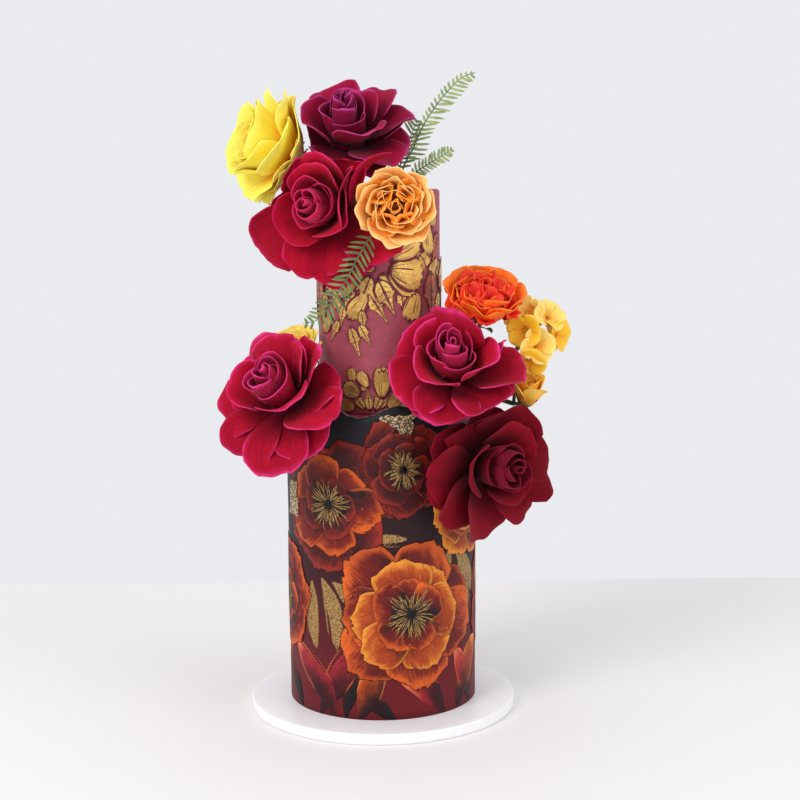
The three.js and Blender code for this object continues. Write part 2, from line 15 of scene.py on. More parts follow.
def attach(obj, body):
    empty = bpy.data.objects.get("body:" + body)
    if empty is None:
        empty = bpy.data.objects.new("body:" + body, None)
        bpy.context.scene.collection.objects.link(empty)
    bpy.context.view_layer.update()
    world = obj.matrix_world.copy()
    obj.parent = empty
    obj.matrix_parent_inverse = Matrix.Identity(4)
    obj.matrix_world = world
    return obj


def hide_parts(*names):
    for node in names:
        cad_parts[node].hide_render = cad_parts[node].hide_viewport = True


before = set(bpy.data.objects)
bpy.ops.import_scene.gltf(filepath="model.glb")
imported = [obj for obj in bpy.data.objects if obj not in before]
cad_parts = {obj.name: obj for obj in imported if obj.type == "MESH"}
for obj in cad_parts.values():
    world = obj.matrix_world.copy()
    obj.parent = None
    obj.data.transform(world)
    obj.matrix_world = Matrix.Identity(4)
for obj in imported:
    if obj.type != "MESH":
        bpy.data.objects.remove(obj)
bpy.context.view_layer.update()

MM = 0.001
TURN = 2 * math.pi

# Driving sizes of the cake, in millimetres
BOARD_RADIUS = 115
BOARD_THICKNESS = 9.5
LOWER_RADIUS = 79.9
LOWER_HEIGHT = 254
LOWER_EDGE = 3
UPPER_RADIUS = 52
UPPER_HEIGHT = 185.5
UPPER_EDGE = 2.5
WRAP_GAP = 0.3
WRAP_THICKNESS = 0.8
WRAP_RISE = 13.5
STENCIL_RELIEF = 1.3
STEM_RADIUS = 2

LEDGE = BOARD_THICKNESS + LOWER_HEIGHT
TOP = LEDGE + UPPER_HEIGHT
WRAP_INSIDE = LOWER_RADIUS + WRAP_GAP
WRAP_OUTSIDE = WRAP_INSIDE + WRAP_THICKNESS


def draw(seed, place):
    """A repeatable draw from -1 to 1 for a seed and a place in its row."""
    wave = math.sin(seed * 12.9898 + place * 78.233) * 43758.5453
    return 2 * (wave - math.floor(wave)) - 1


def eased_step(value, low, high):
    """0 below low and 1 above high, with a soft rise between."""
    share = np.clip((value - low) / (high - low), 0, 1)
    return share * share * (3 - 2 * share)


# Camera: fitted to the tiers' edges and the board

CAMERA_PLACE = Vector((17.0, -1395.7, 468.6)) * MM
CAMERA_PITCH = 0.1423
CAMERA_ROLL = 0.0089
FOCAL_PIXELS = 1634
FRAME_PIXELS = 800
SENSOR = 36
NEAR, FAR = 0.05, 50


def add_camera():
    data = bpy.data.cameras.new("camera")
    data.sensor_width = SENSOR
    data.lens = FOCAL_PIXELS / FRAME_PIXELS * SENSOR
    data.clip_start, data.clip_end = NEAR, FAR
    camera = bpy.data.objects.new("camera", data)
    forward = Vector((0, math.cos(CAMERA_PITCH), -math.sin(CAMERA_PITCH)))
    up = Vector((0, math.sin(CAMERA_PITCH), math.cos(CAMERA_PITCH)))
    right = Vector((1, 0, 0))
    across = right * math.cos(CAMERA_ROLL) - up * math.sin(CAMERA_ROLL)
    upward = right * math.sin(CAMERA_ROLL) + up * math.cos(CAMERA_ROLL)
    facing = Matrix((across, upward, -forward)).transposed().to_4x4()
    camera.matrix_world = Matrix.Translation(CAMERA_PLACE) @ facing
    bpy.context.scene.collection.objects.link(camera)
    bpy.context.scene.camera = camera


# Materials


def srgb(red, green, blue):
    """A colour as a screen shows it, from 0 to 255, as the shader takes it."""
    shares = [channel / 255 for channel in (red, green, blue)]
    linear = [c / 12.92 if c <= 0.04045 else ((c + 0.055) / 1.055) ** 2.4 for c in shares]
    return (*linear, 1.0)


class Wire:
    """A socket that Python's arithmetic works on: each sign adds a Math node."""

    def __init__(self, paint, socket):
        self.paint = paint
        self.socket = socket

    def maths(self, operation, other=0.0):
        return self.paint.node("ShaderNodeMath", {"operation": operation}, {0: self, 1: other})

    def __add__(self, other):
        return self.maths("ADD", other)

    def __radd__(self, other):
        return self.maths("ADD", other)

    def __sub__(self, other):
        return self.maths("SUBTRACT", other)

    def __rsub__(self, other):
        return (self * -1) + other

    def __mul__(self, other):
        return self.maths("MULTIPLY", other)

    def __rmul__(self, other):
        return self.maths("MULTIPLY", other)


class Paint:
    """One material and its nodes."""

    def __init__(self, name, **constants):
        self.material = bpy.data.materials.new(name)
        self.material.use_nodes = True
        self.tree = self.material.node_tree
        self.shader = self.tree.nodes["Principled BSDF"]
        for key, value in constants.items():
            self.shader.inputs[key.replace("_", " ")].default_value = value

    def feed(self, socket, value):
        if isinstance(value, Wire):
            self.tree.links.new(value.socket, socket)
        else:
            socket.default_value = value

    def node(self, kind, settings, inputs, output=0):
        made = self.tree.nodes.new(kind)
        for name, value in settings.items():
            setattr(made, name, value)
        for key, value in inputs.items():
            self.feed(made.inputs[key], value)
        return Wire(self, made.outputs[output])

    def put(self, **links):
        """Links or sets the shader's own sockets."""
        for key, value in links.items():
            self.feed(self.shader.inputs[key.replace("_", " ")], value)
        return self.material

    def mark(self, name):
        """A number stored on the piece's own corners."""
        return self.node("ShaderNodeAttribute", {"attribute_name": name}, {}, 2)

    def place(self, scale=(1, 1, 1)):
        """The cake's own coordinates, stretched by a scale."""
        spot = self.node("ShaderNodeTexCoord", {}, {}, 3)
        return self.node("ShaderNodeMapping", {}, {"Vector": spot, "Scale": scale})

    def sheet(self, scale):
        """Coordinates on the sheet that a petal or patch was laid from."""
        spot = self.node("ShaderNodeTexCoord", {}, {}, 2)
        return self.node("ShaderNodeMapping", {}, {"Vector": spot, "Scale": scale})

    def noise(self, where, scale, detail, roughness=0.55, distortion=0.0):
        inputs = {"Vector": where, "Scale": scale, "Detail": detail, "Roughness": roughness}
        return self.node("ShaderNodeTexNoise", {}, {**inputs, "Distortion": distortion})

    def crackle(self, where, scale):
        """Distance to the edge of the cell, in a net of uneven cells."""
        settings = {"feature": "DISTANCE_TO_EDGE"}
        return self.node("ShaderNodeTexVoronoi", settings, {"Vector": where, "Scale": scale})

    def step(self, value, low, high, start=0.0, end=1.0):
        settings = {"interpolation_type": "SMOOTHSTEP"}
        inputs = {"Value": value, "From Min": low, "From Max": high, "To Min": start, "To Max": end}
        return self.node("ShaderNodeMapRange", settings, inputs)

    def blend(self, share, first, second):
        settings = {"data_type": "RGBA", "clamp_factor": True}
        return self.node("ShaderNodeMix", settings, {0: share, 6: first, 7: second}, 2)

    def relief(self, height, distance, strength):
        inputs = {"Height": height, "Distance": distance, "Strength": strength}
        return self.node("ShaderNodeBump", {}, inputs)


def petal_rim(paint):
    """How near a spot on a petal is to its free edge, from 0 inside to 1 at the edge."""
    spot = paint.node("ShaderNodeTexCoord", {}, {}, 2)
    across, along = (paint.node("ShaderNodeSeparateXYZ", {}, {0: spot}, axis) for axis in (0, 1))
    side = (across * 2 - 1).maths("ABSOLUTE") * paint.step(along, 0.1, 0.55)
    return along.maths("MAXIMUM", side)


def velvet(name, face, shade_and_streak, rim, heart, rim_and_highlight_share, glow):
    """Flocked petals: painted shade towards the foot, a lighter edge that is partly the petals' own colour
    and partly painted highlight, and a heart of another tone.
    """
    face, shade_and_streak, rim, heart = (srgb(*tone) for tone in (face, shade_and_streak, rim, heart))
    sheen = {"Sheen_Weight": 0.03, "Sheen_Roughness": 0.4}
    paint = Paint(name, Roughness=0.9, Specular_IOR_Level=0.15, **sheen)
    reach = paint.mark("reach")
    layer = paint.mark("layer")
    cloud = paint.noise(paint.place(), 60, 3)
    streak = paint.noise(paint.sheet((22, 2.2, 1)), 1.0, 3, 0.6)
    # Painted shade: the deep tone grows towards each petal's foot, where the hollows of the flower lie.
    body = paint.blend(paint.step(reach + (cloud - 0.5) * 0.4, 0.05, 0.75), shade_and_streak, face)
    body = paint.blend(paint.step(layer, 0.7, 0.3), body, heart)
    dusk = paint.step(streak + paint.mark("tint") * 0.2, 0.4, 0.75)
    body = paint.blend(dusk * 0.35, body, shade_and_streak)
    # The rim tone is partly the petals' own lighter edge and partly painted highlight: glow sets its wide
    # band, the rim share its thin line.
    edge = petal_rim(paint)
    patchy = paint.step(paint.noise(paint.place(), 34, 2), 0.4, 0.62) * 0.7 + 0.3
    wide = paint.step(edge + (cloud - 0.5) * 0.25, 0.86, 1.04)
    narrow = paint.step(edge + (cloud - 0.5) * 0.06, 0.95, 0.99)
    body = paint.blend(wide * patchy * glow, body, rim)
    body = paint.blend(narrow * patchy * rim_and_highlight_share, body, rim)
    pile = paint.noise(paint.place(), 2500, 2)
    return paint.put(Base_Color=body, Normal=paint.relief(streak * 0.7 + pile * 0.3, 0.0005, 0.6))


def silk(name, face, shade_and_streak, rim, heart, rim_and_highlight_share=0.5, translucent=0.08):
    """Fine woven petals, thin enough to glow a little."""
    face, shade_and_streak, rim, heart = (srgb(*tone) for tone in (face, shade_and_streak, rim, heart))
    glow = {"Subsurface_Weight": translucent, "Subsurface_Scale": 0.004}
    paint = Paint(name, Roughness=0.6, Specular_IOR_Level=0.3, **glow)
    reach = paint.mark("reach")
    layer = paint.mark("layer")
    cloud = paint.noise(paint.place(), 70, 3)
    streak = paint.noise(paint.sheet((26, 1.6, 1)), 1.0, 3, 0.6)
    # Painted shade: the deep tone grows towards each petal's foot.
    body = paint.blend(paint.step(reach + (cloud - 0.5) * 0.35, 0.05, 0.7), shade_and_streak, face)
    body = paint.blend(paint.step(layer, 0.7, 0.25), body, heart)
    body = paint.blend(paint.step(streak + paint.mark("tint") * 0.15, 0.4, 0.75) * 0.4, body, shade_and_streak)
    edge = petal_rim(paint)
    # The paler edge is partly the petals' own rim colour and partly painted highlight.
    pale = paint.step(edge + (cloud - 0.5) * 0.2, 0.72, 1.0) * paint.step(layer, 0.2, 0.9, 0.25, 1.0)
    body = paint.blend(pale * rim_and_highlight_share, body, rim)
    weave = paint.noise(paint.place(), 2200, 2)
    return paint.put(Base_Color=body, Normal=paint.relief(streak * 0.8 + weave * 0.2, 0.0005, 0.7))


def leaf_green(name, pale, dark):
    """Stems and leaflets: cloudy green, darker along the leaflet's rib."""
    pale, dark = srgb(*pale), srgb(*dark)
    paint = Paint(name, Roughness=0.55)
    rib = paint.mark("rim")
    cloud = paint.noise(paint.place(), 90, 3)
    body = paint.blend(paint.step(cloud, 0.3, 0.7), pale, dark)
    body = paint.blend(paint.step(rib, 0.5, 0.95) * 0.5, body, dark)
    grain = paint.noise(paint.place(), 900, 3)
    return paint.put(Base_Color=body, Normal=paint.relief(grain, 0.0003, 0.5))


def rose_icing():
    """Dusty rose sugar paste with faint raised crackle lines."""
    paint = Paint("rose_icing", Roughness=0.62)
    cloud = paint.noise(paint.place(), 14, 5, 0.6)
    fine = paint.noise(paint.place(), 260, 4)
    body = paint.blend(paint.step(cloud, 0.3, 0.7), srgb(170, 72, 90), srgb(150, 58, 76))
    body = paint.blend(paint.step(fine, 0.45, 0.8) * 0.25, body, srgb(186, 96, 110))
    bent = paint.place((1, 1, 0.6))
    line = paint.step(paint.crackle(bent, 26), 0.0, 0.03, 1.0, 0.0)
    body = paint.blend(line * 0.25, body, srgb(190, 100, 108))
    return paint.put(Base_Color=body, Normal=paint.relief(line * 0.6 + fine * 0.4, 0.0006, 0.6))


def gilt(name, bright, dull, metal):
    """Gold leaf paint over the raised ornament, turning to maroon in its grooves."""
    paint = Paint(name, Metallic=metal, Roughness=0.42)
    groove = paint.mark("groove")
    cloud = paint.noise(paint.place(), 80, 4)
    spark = paint.noise(paint.place(), 1500, 4, 0.75)
    gold = paint.blend(paint.step(cloud, 0.35, 0.65), srgb(*bright), srgb(*dull))
    gold = paint.blend(paint.step(spark, 0.54, 0.66) * 0.9, gold, srgb(255, 236, 176))
    gold = paint.blend(paint.step(spark, 0.46, 0.32) * 0.7, gold, srgb(120, 82, 38))
    groove_share = paint.step(groove, 0.3, 0.6)
    body = paint.blend(groove_share, gold, srgb(112, 26, 44))
    return paint.put(
        Base_Color=body,
        Metallic=(1 - groove_share) * metal,
        Roughness=paint.step(spark, 0.3, 0.7, 0.55, 0.3),
        Normal=paint.relief(spark, 0.0004, 0.7),
    )


def maroon_and_painted_shade():
    """The dark maroon that edges the gilt ornament: partly the ornament's own maroon paint, partly painted
    shade round the raised plates.
    """
    paint = Paint("maroon_and_painted_shade", Roughness=0.6)
    cloud = paint.noise(paint.place(), 120, 3)
    body = paint.blend(cloud, srgb(122, 34, 50), srgb(92, 20, 36))
    return paint.put(Base_Color=body, Normal=paint.relief(cloud, 0.0004, 0.4))


def print_ground():
    """The printed sheet's ground: charcoal above, burgundy towards the foot, cloudy all over."""
    paint = Paint("print_ground", Roughness=0.55, Specular_IOR_Level=0.25)
    height = paint.mark("height")
    cloud = paint.noise(paint.place((1, 1, 0.7)), 22, 5, 0.6)
    ember = paint.noise(paint.place((1, 1, 1.4)), 48, 5, 0.65)
    share = height + (cloud - 0.5) * 0.4
    body = paint.blend(paint.step(share, 0.1, 0.55), srgb(98, 12, 22), srgb(44, 12, 18))
    body = paint.blend(paint.step(share, 0.45, 0.85), body, srgb(22, 20, 27))
    body = paint.blend(paint.step(ember, 0.55, 0.8) * 0.25, body, srgb(96, 26, 18))
    return paint.put(Base_Color=body, Normal=paint.relief(ember, 0.0003, 0.3))


def print_ink(name, foot, middle, tip, vein):
    """Printed petals and leaves: strokes that run from a dark foot to a glowing edge, lit from one side."""
    foot, middle, tip, vein = (srgb(*tone) for tone in (foot, middle, tip, vein))
    paint = Paint(name, Roughness=0.55, Specular_IOR_Level=0.25)
    reach = paint.mark("reach")
    streak = paint.noise(paint.sheet((34, 2.6, 1)), 1.0, 5, 0.7, 0.4)
    cloud = paint.noise(paint.place(), 110, 4)
    share = reach + (streak - 0.5) * 0.9 + (cloud - 0.5) * 0.6 + paint.mark("groove") * 0.4
    body = paint.blend(paint.step(share, 0.2, 0.8), foot, middle)
    body = paint.blend(paint.step(share, 0.72, 1.2), body, tip)
    edge = petal_rim(paint) + (streak - 0.5) * 0.1
    body = paint.blend(paint.step(edge + paint.mark("tint") * 0.05, 0.84, 0.98) * 0.6, body, tip)
    body = paint.blend(paint.step(streak, 0.56, 0.7) * 0.55, body, vein)
    body = paint.blend(paint.step(edge, 0.975, 0.99), body, srgb(18, 8, 12))
    return paint.put(Base_Color=body, Normal=paint.relief(streak, 0.0001, 0.3))


def printed_gold():
    """Gold leaf as the print shows it: torn and flecked over dark brown."""
    paint = Paint("printed_gold", Roughness=0.5, Specular_IOR_Level=0.3)
    torn = paint.crackle(paint.sheet((9, 26, 1)), 1.4)
    fleck = paint.noise(paint.place(), 900, 4, 0.7)
    body = paint.blend(paint.step(fleck, 0.35, 0.65), srgb(112, 74, 34), srgb(206, 164, 96))
    body = paint.blend(paint.step(fleck, 0.62, 0.74), body, srgb(246, 222, 164))
    body = paint.blend(paint.step(torn, 0.1, 0.02) * 0.8, body, srgb(34, 20, 16))
    return paint.put(Base_Color=body, Normal=paint.relief(fleck, 0.0002, 0.3))


def board_paper():
    """White satin paper with a fine weave."""
    paint = Paint("board_paper", Roughness=0.38, Specular_IOR_Level=0.5)
    weave = paint.noise(paint.place(), 380, 4)
    cloud = paint.noise(paint.place(), 12, 3)
    body = paint.blend(cloud, srgb(248, 246, 247), srgb(238, 237, 240))
    return paint.put(Base_Color=body, Normal=paint.relief(weave, 0.0004, 0.25))


def gold_crackle():
    """Cream and gold crackle on black, seen where the print is cut away."""
    paint = Paint("gold_crackle", Roughness=0.45)
    chips = paint.crackle(paint.place(), 420)
    tone = paint.noise(paint.place(), 500, 3, 0.7)
    body = paint.blend(paint.step(tone, 0.4, 0.6), srgb(226, 205, 160), srgb(160, 118, 62))
    body = paint.blend(paint.step(chips, 0.16, 0.06), body, srgb(40, 28, 26))
    return paint.put(Base_Color=body, Normal=paint.relief(chips, 0.0005, 0.6))


# Building pieces

# Numbers that each corner of a mesh carries for its material
MARKS = ("reach", "rim", "layer", "tint", "groove", "height")
MERGE = 1e-7


def new_mesh():
    mesh = bmesh.new()
    mesh.loops.layers.uv.new("UVMap")
    for name in MARKS:
        mesh.verts.layers.float.new(name)
    return mesh


def lay(mesh, columns, rows, place, marks, material=0):
    """Adds a grid and lays it out: place and marks take s from -1 to 1 and t from 0 to 1."""
    grid = bmesh.ops.create_grid(mesh, x_segments=columns, y_segments=rows, size=1, calc_uvs=True)
    made = grid["verts"]
    flat = np.array([corner.co[:] for corner in made])
    s, t = flat[:, 0], (flat[:, 1] + 1) / 2
    for corner, point in zip(made, (place(s, t) * MM).tolist()):
        corner.co = point
    for name, value in marks(s, t).items():
        layer = mesh.verts.layers.float[name]
        for corner, number in zip(made, np.broadcast_to(value, s.shape).tolist()):
            corner[layer] = number
    if material:
        for corner in made:
            for face in corner.link_faces:
                face.material_index = material
    return made


def add_piece(name, mesh, materials, nodes):
    """Makes a finished piece that stands for one or more nodes of the cake."""
    data = bpy.data.meshes.new(name)
    mesh.to_mesh(data)
    mesh.free()
    data.shade_smooth()
    piece = bpy.data.objects.new(name, data)
    bpy.context.scene.collection.objects.link(piece)
    for material in materials:
        data.materials.append(material)
    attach(piece, "root")
    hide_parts(*nodes)
    return piece


def thicken(piece, thickness, offset=0.0, rim=0):
    """Gives a thin sheet its two sides and its edge, which may have another material."""
    wall = piece.modifiers.new("wall", "SOLIDIFY")
    wall.thickness = thickness * MM
    wall.offset = offset
    wall.material_offset_rim = rim
    wall.use_quality_normals = True


def turned(mesh, profile, steps):
    """Turns a profile of (radius, height) pairs about the cake's axis."""
    corners = [mesh.verts.new((radius * MM, 0, height * MM)) for radius, height in profile]
    edges = [mesh.edges.new(pair) for pair in zip(corners, corners[1:])]
    about = {"cent": (0, 0, 0), "axis": (0, 0, 1), "angle": TURN}
    bmesh.ops.spin(mesh, geom=corners + edges, steps=steps, use_merge=True, **about)
    bmesh.ops.remove_doubles(mesh, verts=mesh.verts, dist=MERGE)
    bmesh.ops.recalc_face_normals(mesh, faces=mesh.faces)


ROUND_STEPS = 5


def rounded(radius, top, edge):
    """The rounded top edge of a tier, as (radius, height) pairs from its side to its top."""
    angles = [math.pi / 2 * i / ROUND_STEPS for i in range(ROUND_STEPS + 1)]
    return [(radius - edge + edge * math.cos(a), top - edge + edge * math.sin(a)) for a in angles]


def rings(radius, low, high, count):
    """Evenly spread (radius, height) pairs up a straight side."""
    return [(radius, low + (high - low) * i / count) for i in range(count + 1)]


# Tubes, for stems and ribs


def smooth_route(points, steps):
    """Points of a smooth curve through the given ones, evenly spread in each span."""
    points = [np.array(p, float) for p in points]
    if len(points) == 2:
        return [points[0] + (points[1] - points[0]) * i / steps for i in range(steps + 1)]
    padded = [2 * points[0] - points[1], *points, 2 * points[-1] - points[-2]]
    route = []
    for a, b, c, d in zip(padded, padded[1:], padded[2:], padded[3:]):
        for i in range(steps):
            t = i / steps
            squared = (2 * a - 5 * b + 4 * c - d) * t * t
            route.append(0.5 * (2 * b + (c - a) * t + squared + (3 * b - a - 3 * c + d) * t**3))
    return [*route, points[-1]]


# A direction that no stem or rib runs along, to turn the tubes' rings from
ASKEW = np.array((0.21, 0.33, 0.92))


def tube(mesh, route, start_radius, end_radius, sides=8):
    """A closed tube along a route, in millimetres."""
    centres = np.array([route[0], *route, route[-1]])
    radii = np.array([0, *np.linspace(start_radius, end_radius, len(route)), 0])
    ways = np.gradient(np.array(route), axis=0)
    ways = np.array([ways[0], *ways, ways[-1]])
    ways /= np.linalg.norm(ways, axis=1)[:, None]
    side = np.cross(ways, ASKEW)
    side /= np.linalg.norm(side, axis=1)[:, None]
    other = np.cross(ways, side)
    last = len(centres) - 1

    def place(s, t):
        at = np.rint(t * last).astype(int)
        angle = math.pi * s[:, None]
        around = np.cos(angle) * side[at] + np.sin(angle) * other[at]
        return centres[at] + radii[at][:, None] * around

    made = lay(mesh, sides, last, place, lambda s, t: {"reach": t})
    bmesh.ops.remove_doubles(mesh, verts=made, dist=MERGE)


# Fences: soft walls that bend petals away from what they lie against

FENCE_SOFTNESS = 2
FREE = 8 * FENCE_SOFTNESS


def kept_out(height):
    """Height above a fence after it has pushed softly: never below 0, and unchanged well above it."""
    soft = FENCE_SOFTNESS * np.log1p(np.exp(np.minimum(height, FREE) / FENCE_SOFTNESS))
    return np.where(height > FREE, height, soft)


def can(radius, top):
    """The outside of one tier, up to its top."""

    def height(points):
        across = np.hypot(points[:, 0], points[:, 1])
        beside, above = across - radius, points[:, 2] - top
        out = np.stack((points[:, 0] / across, points[:, 1] / across, 0 * across), axis=1)
        over = (above > beside)[:, None]
        return np.where(over[:, 0], above, beside), np.where(over, np.array((0, 0, 1.0)), out)

    return height


def ball(centre, radius):
    """The outside of a ball round a bloom."""

    def height(points):
        away = points - centre
        length = np.linalg.norm(away, axis=1)
        return length - radius, away / length[:, None]

    return height


def short(own, other, share):
    """The near side of a plane between this flower and another."""
    foot = own + (other - own) * share
    way = (own - other) / np.linalg.norm(own - other)

    def height(points):
        return (points - foot) @ way, np.broadcast_to(way, points.shape)

    return height


def fenced(points, fences, gap):
    """Moves points to the free side of every fence, and a gap further."""
    for fence in fences:
        height, way = fence(points)
        height = height - gap
        points = points + way * (kept_out(height) - height)[:, None]
    return points


STANDOFF = 1.6
UPPER_CAN = can(UPPER_RADIUS + STENCIL_RELIEF + STANDOFF, TOP + 1.5)
LOWER_CAN = can(WRAP_OUTSIDE + STANDOFF, LEDGE + WRAP_RISE)

# Petals

# A petal's foot stands at start and height. It leans by open there and by open_tip at its end, and bends
# round a radius, wrap. The tip rolls outwards by roll, and the sides rise by curl and lift. The outline is
# cut by corner, slant and ragged, and ruffle, frill and billow are its waves. gap holds it off the fences.

PETAL = dict(
    start=9, height=0, turn=0, wrap=40, curl=3, ruffle=1, waves=1.5, lift=2.4, phase=0, corner=0.26,
    frill=0.7, frills=1.8, ragged=0.007, billow=0.5, roll=0, slant=0, gap=0, layer=1, columns=22,
    rows=26,
)
LINE_STEPS = 24
ROLL_FROM = 0.7
FOOT_WIDTH = 0.16
WIDEST = 0.62
SIDE_FROM = 0.6


def petal_line(petal):
    """The middle line of a petal in its own upright plane: distance out, height and lean at each step."""
    line = []
    out, up = petal["start"], petal["height"]
    for i in range(LINE_STEPS + 1):
        t = i / LINE_STEPS
        roll = petal["roll"] * max(0, (t - ROLL_FROM) / (1 - ROLL_FROM))
        lean = math.radians(petal["open"] + (petal["open_tip"] - petal["open"]) * t**1.4 + roll)
        line.append((out, up, lean))
        out += math.sin(lean) * petal["length"] / LINE_STEPS
        up += math.cos(lean) * petal["length"] / LINE_STEPS
    return np.array(line).T


def petal_outline(t):
    """Half width along a petal, as a share of its widest."""
    rise = FOOT_WIDTH + (1 - FOOT_WIDTH) * np.sin(math.pi / 2 * np.minimum(1, t / WIDEST))
    fall = np.maximum(0, (t - WIDEST) / (1 - WIDEST))
    return rise * (1 - 0.3 * fall**2.2)


def petal_points(petal, s, t):
    """Points of a petal in its flower's frame: s runs across it, t from its foot to its tip."""
    side = np.abs(s)
    phase = petal["phase"]
    rag = petal["ragged"] * (np.sin(9 * s + 2 * phase) + 0.6 * np.sin(17 * s + phase))
    cut = petal["corner"] * side**2.6
    along = np.clip(t * (1 - cut - petal["slant"] * (1 - s) / 2 + rag), 0, 1)
    steps = along * LINE_STEPS
    marks = np.arange(LINE_STEPS + 1)
    out, up, lean = (np.interp(steps, marks, row) for row in petal_line(petal))
    half = petal["width"] * petal_outline(along) * (1 + petal["ragged"] * np.sin(11 * t + 3 * phase))
    bend = half * s / petal["wrap"]
    rim = np.maximum(0, (side - SIDE_FROM) / (1 - SIDE_FROM))
    wave = np.sin(petal["waves"] * s * math.pi + phase) * petal["ruffle"] * along**3
    wave = wave + petal["billow"] * np.sin(3 * s + 5 * t + 7 * phase) * t
    frill = t**6 * np.sin(petal["frills"] * s * math.pi + 2 * phase)
    frill = frill + side**6 * along * np.sin(2 * petal["frills"] * t + 5 * phase)
    across = petal["wrap"] * np.sin(bend)
    cupped = -petal["wrap"] * (1 - np.cos(bend))
    curled = petal["curl"] * rim * rim * along * (1 + s) / 2
    lifted = petal["lift"] * s * (0.4 + 0.8 * along)
    proud = cupped + curled + wave + lifted + petal["frill"] * frill
    outward = out + np.cos(lean) * proud
    cos, sin = math.cos(petal["around"]), math.sin(petal["around"])
    flat = (outward * cos - across * sin, outward * sin + across * cos)
    return np.stack((*flat, up - np.sin(lean) * proud), axis=1)


def petal_marks(petal):
    def marks(s, t):
        rim = 1 - (1 - t**7) * (1 - np.abs(s) ** 7 * eased_step(t, 0.1, 0.5))
        return {"reach": t, "rim": rim, "layer": petal["layer"], "tint": petal["phase"] / 3}

    return marks


def add_petals(mesh, flower, petals, fences=(), material=0):
    axes = flower_axes(flower)
    base = np.array(flower["base"])
    for petal in petals:

        def place(s, t, petal=petal):
            return fenced(petal_points(petal, s, t) @ axes + base, fences, petal["gap"])

        lay(mesh, petal["columns"], petal["rows"], place, petal_marks(petal), material)


# How uneven a ring's petals are: turn and leans in degrees, length and width as shares
UNEVEN = dict(around=9, open=4, open_tip=8, length=0.07, width=0.08)


def ring(flower, layer, rank):
    """One ring of petals, a little uneven."""
    seed = flower["seed"] + rank * 17
    start = flower["spin"] + layer["turn"]
    pitch = layer.get("pitch", 360 / layer["count"])
    return [
        dict(
            layer,
            around=math.radians(start + pitch * i + UNEVEN["around"] * draw(seed, i)),
            open=layer["open"] + UNEVEN["open"] * draw(seed, i + 10),
            open_tip=layer["open_tip"] + UNEVEN["open_tip"] * draw(seed, i + 20),
            length=layer["length"] * (1 + UNEVEN["length"] * draw(seed, i + 30)),
            width=layer["width"] * (1 + UNEVEN["width"] * draw(seed, i + 40)),
            phase=3 * draw(seed, i + 50),
        )
        for i in range(layer["count"])
    ]


def placed(flower, layer, rows):
    """Petals placed one by one: direction, length, half width, lean at the base and at the tip."""
    order = sorted(row[0] for row in rows)
    return [
        dict(
            layer,
            around=math.radians(around),
            length=length,
            width=width,
            open=leaning,
            open_tip=tip,
            gap=layer["gap"] * (len(rows) - order.index(around)),
            phase=3 * draw(flower["seed"], i + 70),
        )
        for i, (around, length, width, leaning, tip) in enumerate(rows)
    ]


# Flowers


def flower_axes(flower):
    """The rows right, up and facing of a flower, scaled by its size."""
    facing = Vector(flower["facing"]).normalized()
    right = Vector((0, 0, 1)).cross(facing).normalized()
    up = facing.cross(right)
    return np.array((right, up, facing)) * flower["size"]


def flower_point(flower, height):
    """A point on the flower's own axis."""
    return np.array(flower["base"]) + flower_axes(flower)[2] * height


STEM_LEAD = 3


def add_stem(name, flower, low):
    """A stem from just inside the flower's foot, first along its axis, then to the cake."""
    lead = [flower_point(flower, low + STEM_LEAD), flower_point(flower, low - STEM_LEAD)]
    stem = new_mesh()
    tube(stem, smooth_route([*lead, *flower["stem"]], 6), STEM_RADIUS, STEM_RADIUS)
    add_piece(name + "_stem", stem, [STEM_GREEN], [name])


CALYX = dict(
    PETAL, count=5, start=2.5, height=-9.5, length=11, width=4, wrap=9, open=70, open_tip=90, roll=50,
    curl=0, ruffle=0.4, corner=0.5, columns=6, rows=10, frill=0.3,
)

# Roses

ROSE_CUP = dict(
    PETAL, count=3, turn=60, height=2, length=41, width=27, open=42, open_tip=34, roll=48, wrap=27,
    layer=0.85, frill=1.1, billow=1, lift=3, columns=26, rows=28,
)
ROSE_WRAP = dict(
    PETAL, height=1, start=6.5, roll=42, wrap=15, layer=0.5, lift=3, curl=1.5, slant=0.22, frill=0.8,
    billow=0.6, columns=34, rows=26,
)
# The petals that wrap the bud: a short one in front, a tall one behind and one between them
BUD_WRAPS = [(285, 38, 30, 38, -10), (75, 45, 30, 34, -10), (170, 42, 29, 36, -8)]
ROSE_BUD = dict(
    PETAL, count=2, turn=80, pitch=165, start=5, height=0, length=48, width=29, open=30, open_tip=-24,
    roll=14, wrap=9.6, layer=0.2, lift=2, curl=0.8, slant=0.1, ruffle=0.3, frill=0.4, billow=0.3,
    columns=38, rows=24,
)
ROSE_CORE = [
    dict(
        PETAL, count=2, turn=40, pitch=170, start=3.4, height=0, length=50, width=18, open=20,
        open_tip=-20, roll=8, wrap=5.8, layer=0.1, lift=1.2, curl=0.3, slant=0.05, ruffle=0.2,
        frill=0.2, billow=0.2, columns=36, rows=18,
    ),
    dict(
        PETAL, count=1, turn=10, start=2.4, height=0, length=49.5, width=15, open=8, open_tip=-7,
        roll=2, wrap=2.6, layer=0, lift=1.1, curl=0, ruffle=0, frill=0.1, billow=0, columns=56,
        rows=14,
    ),
]
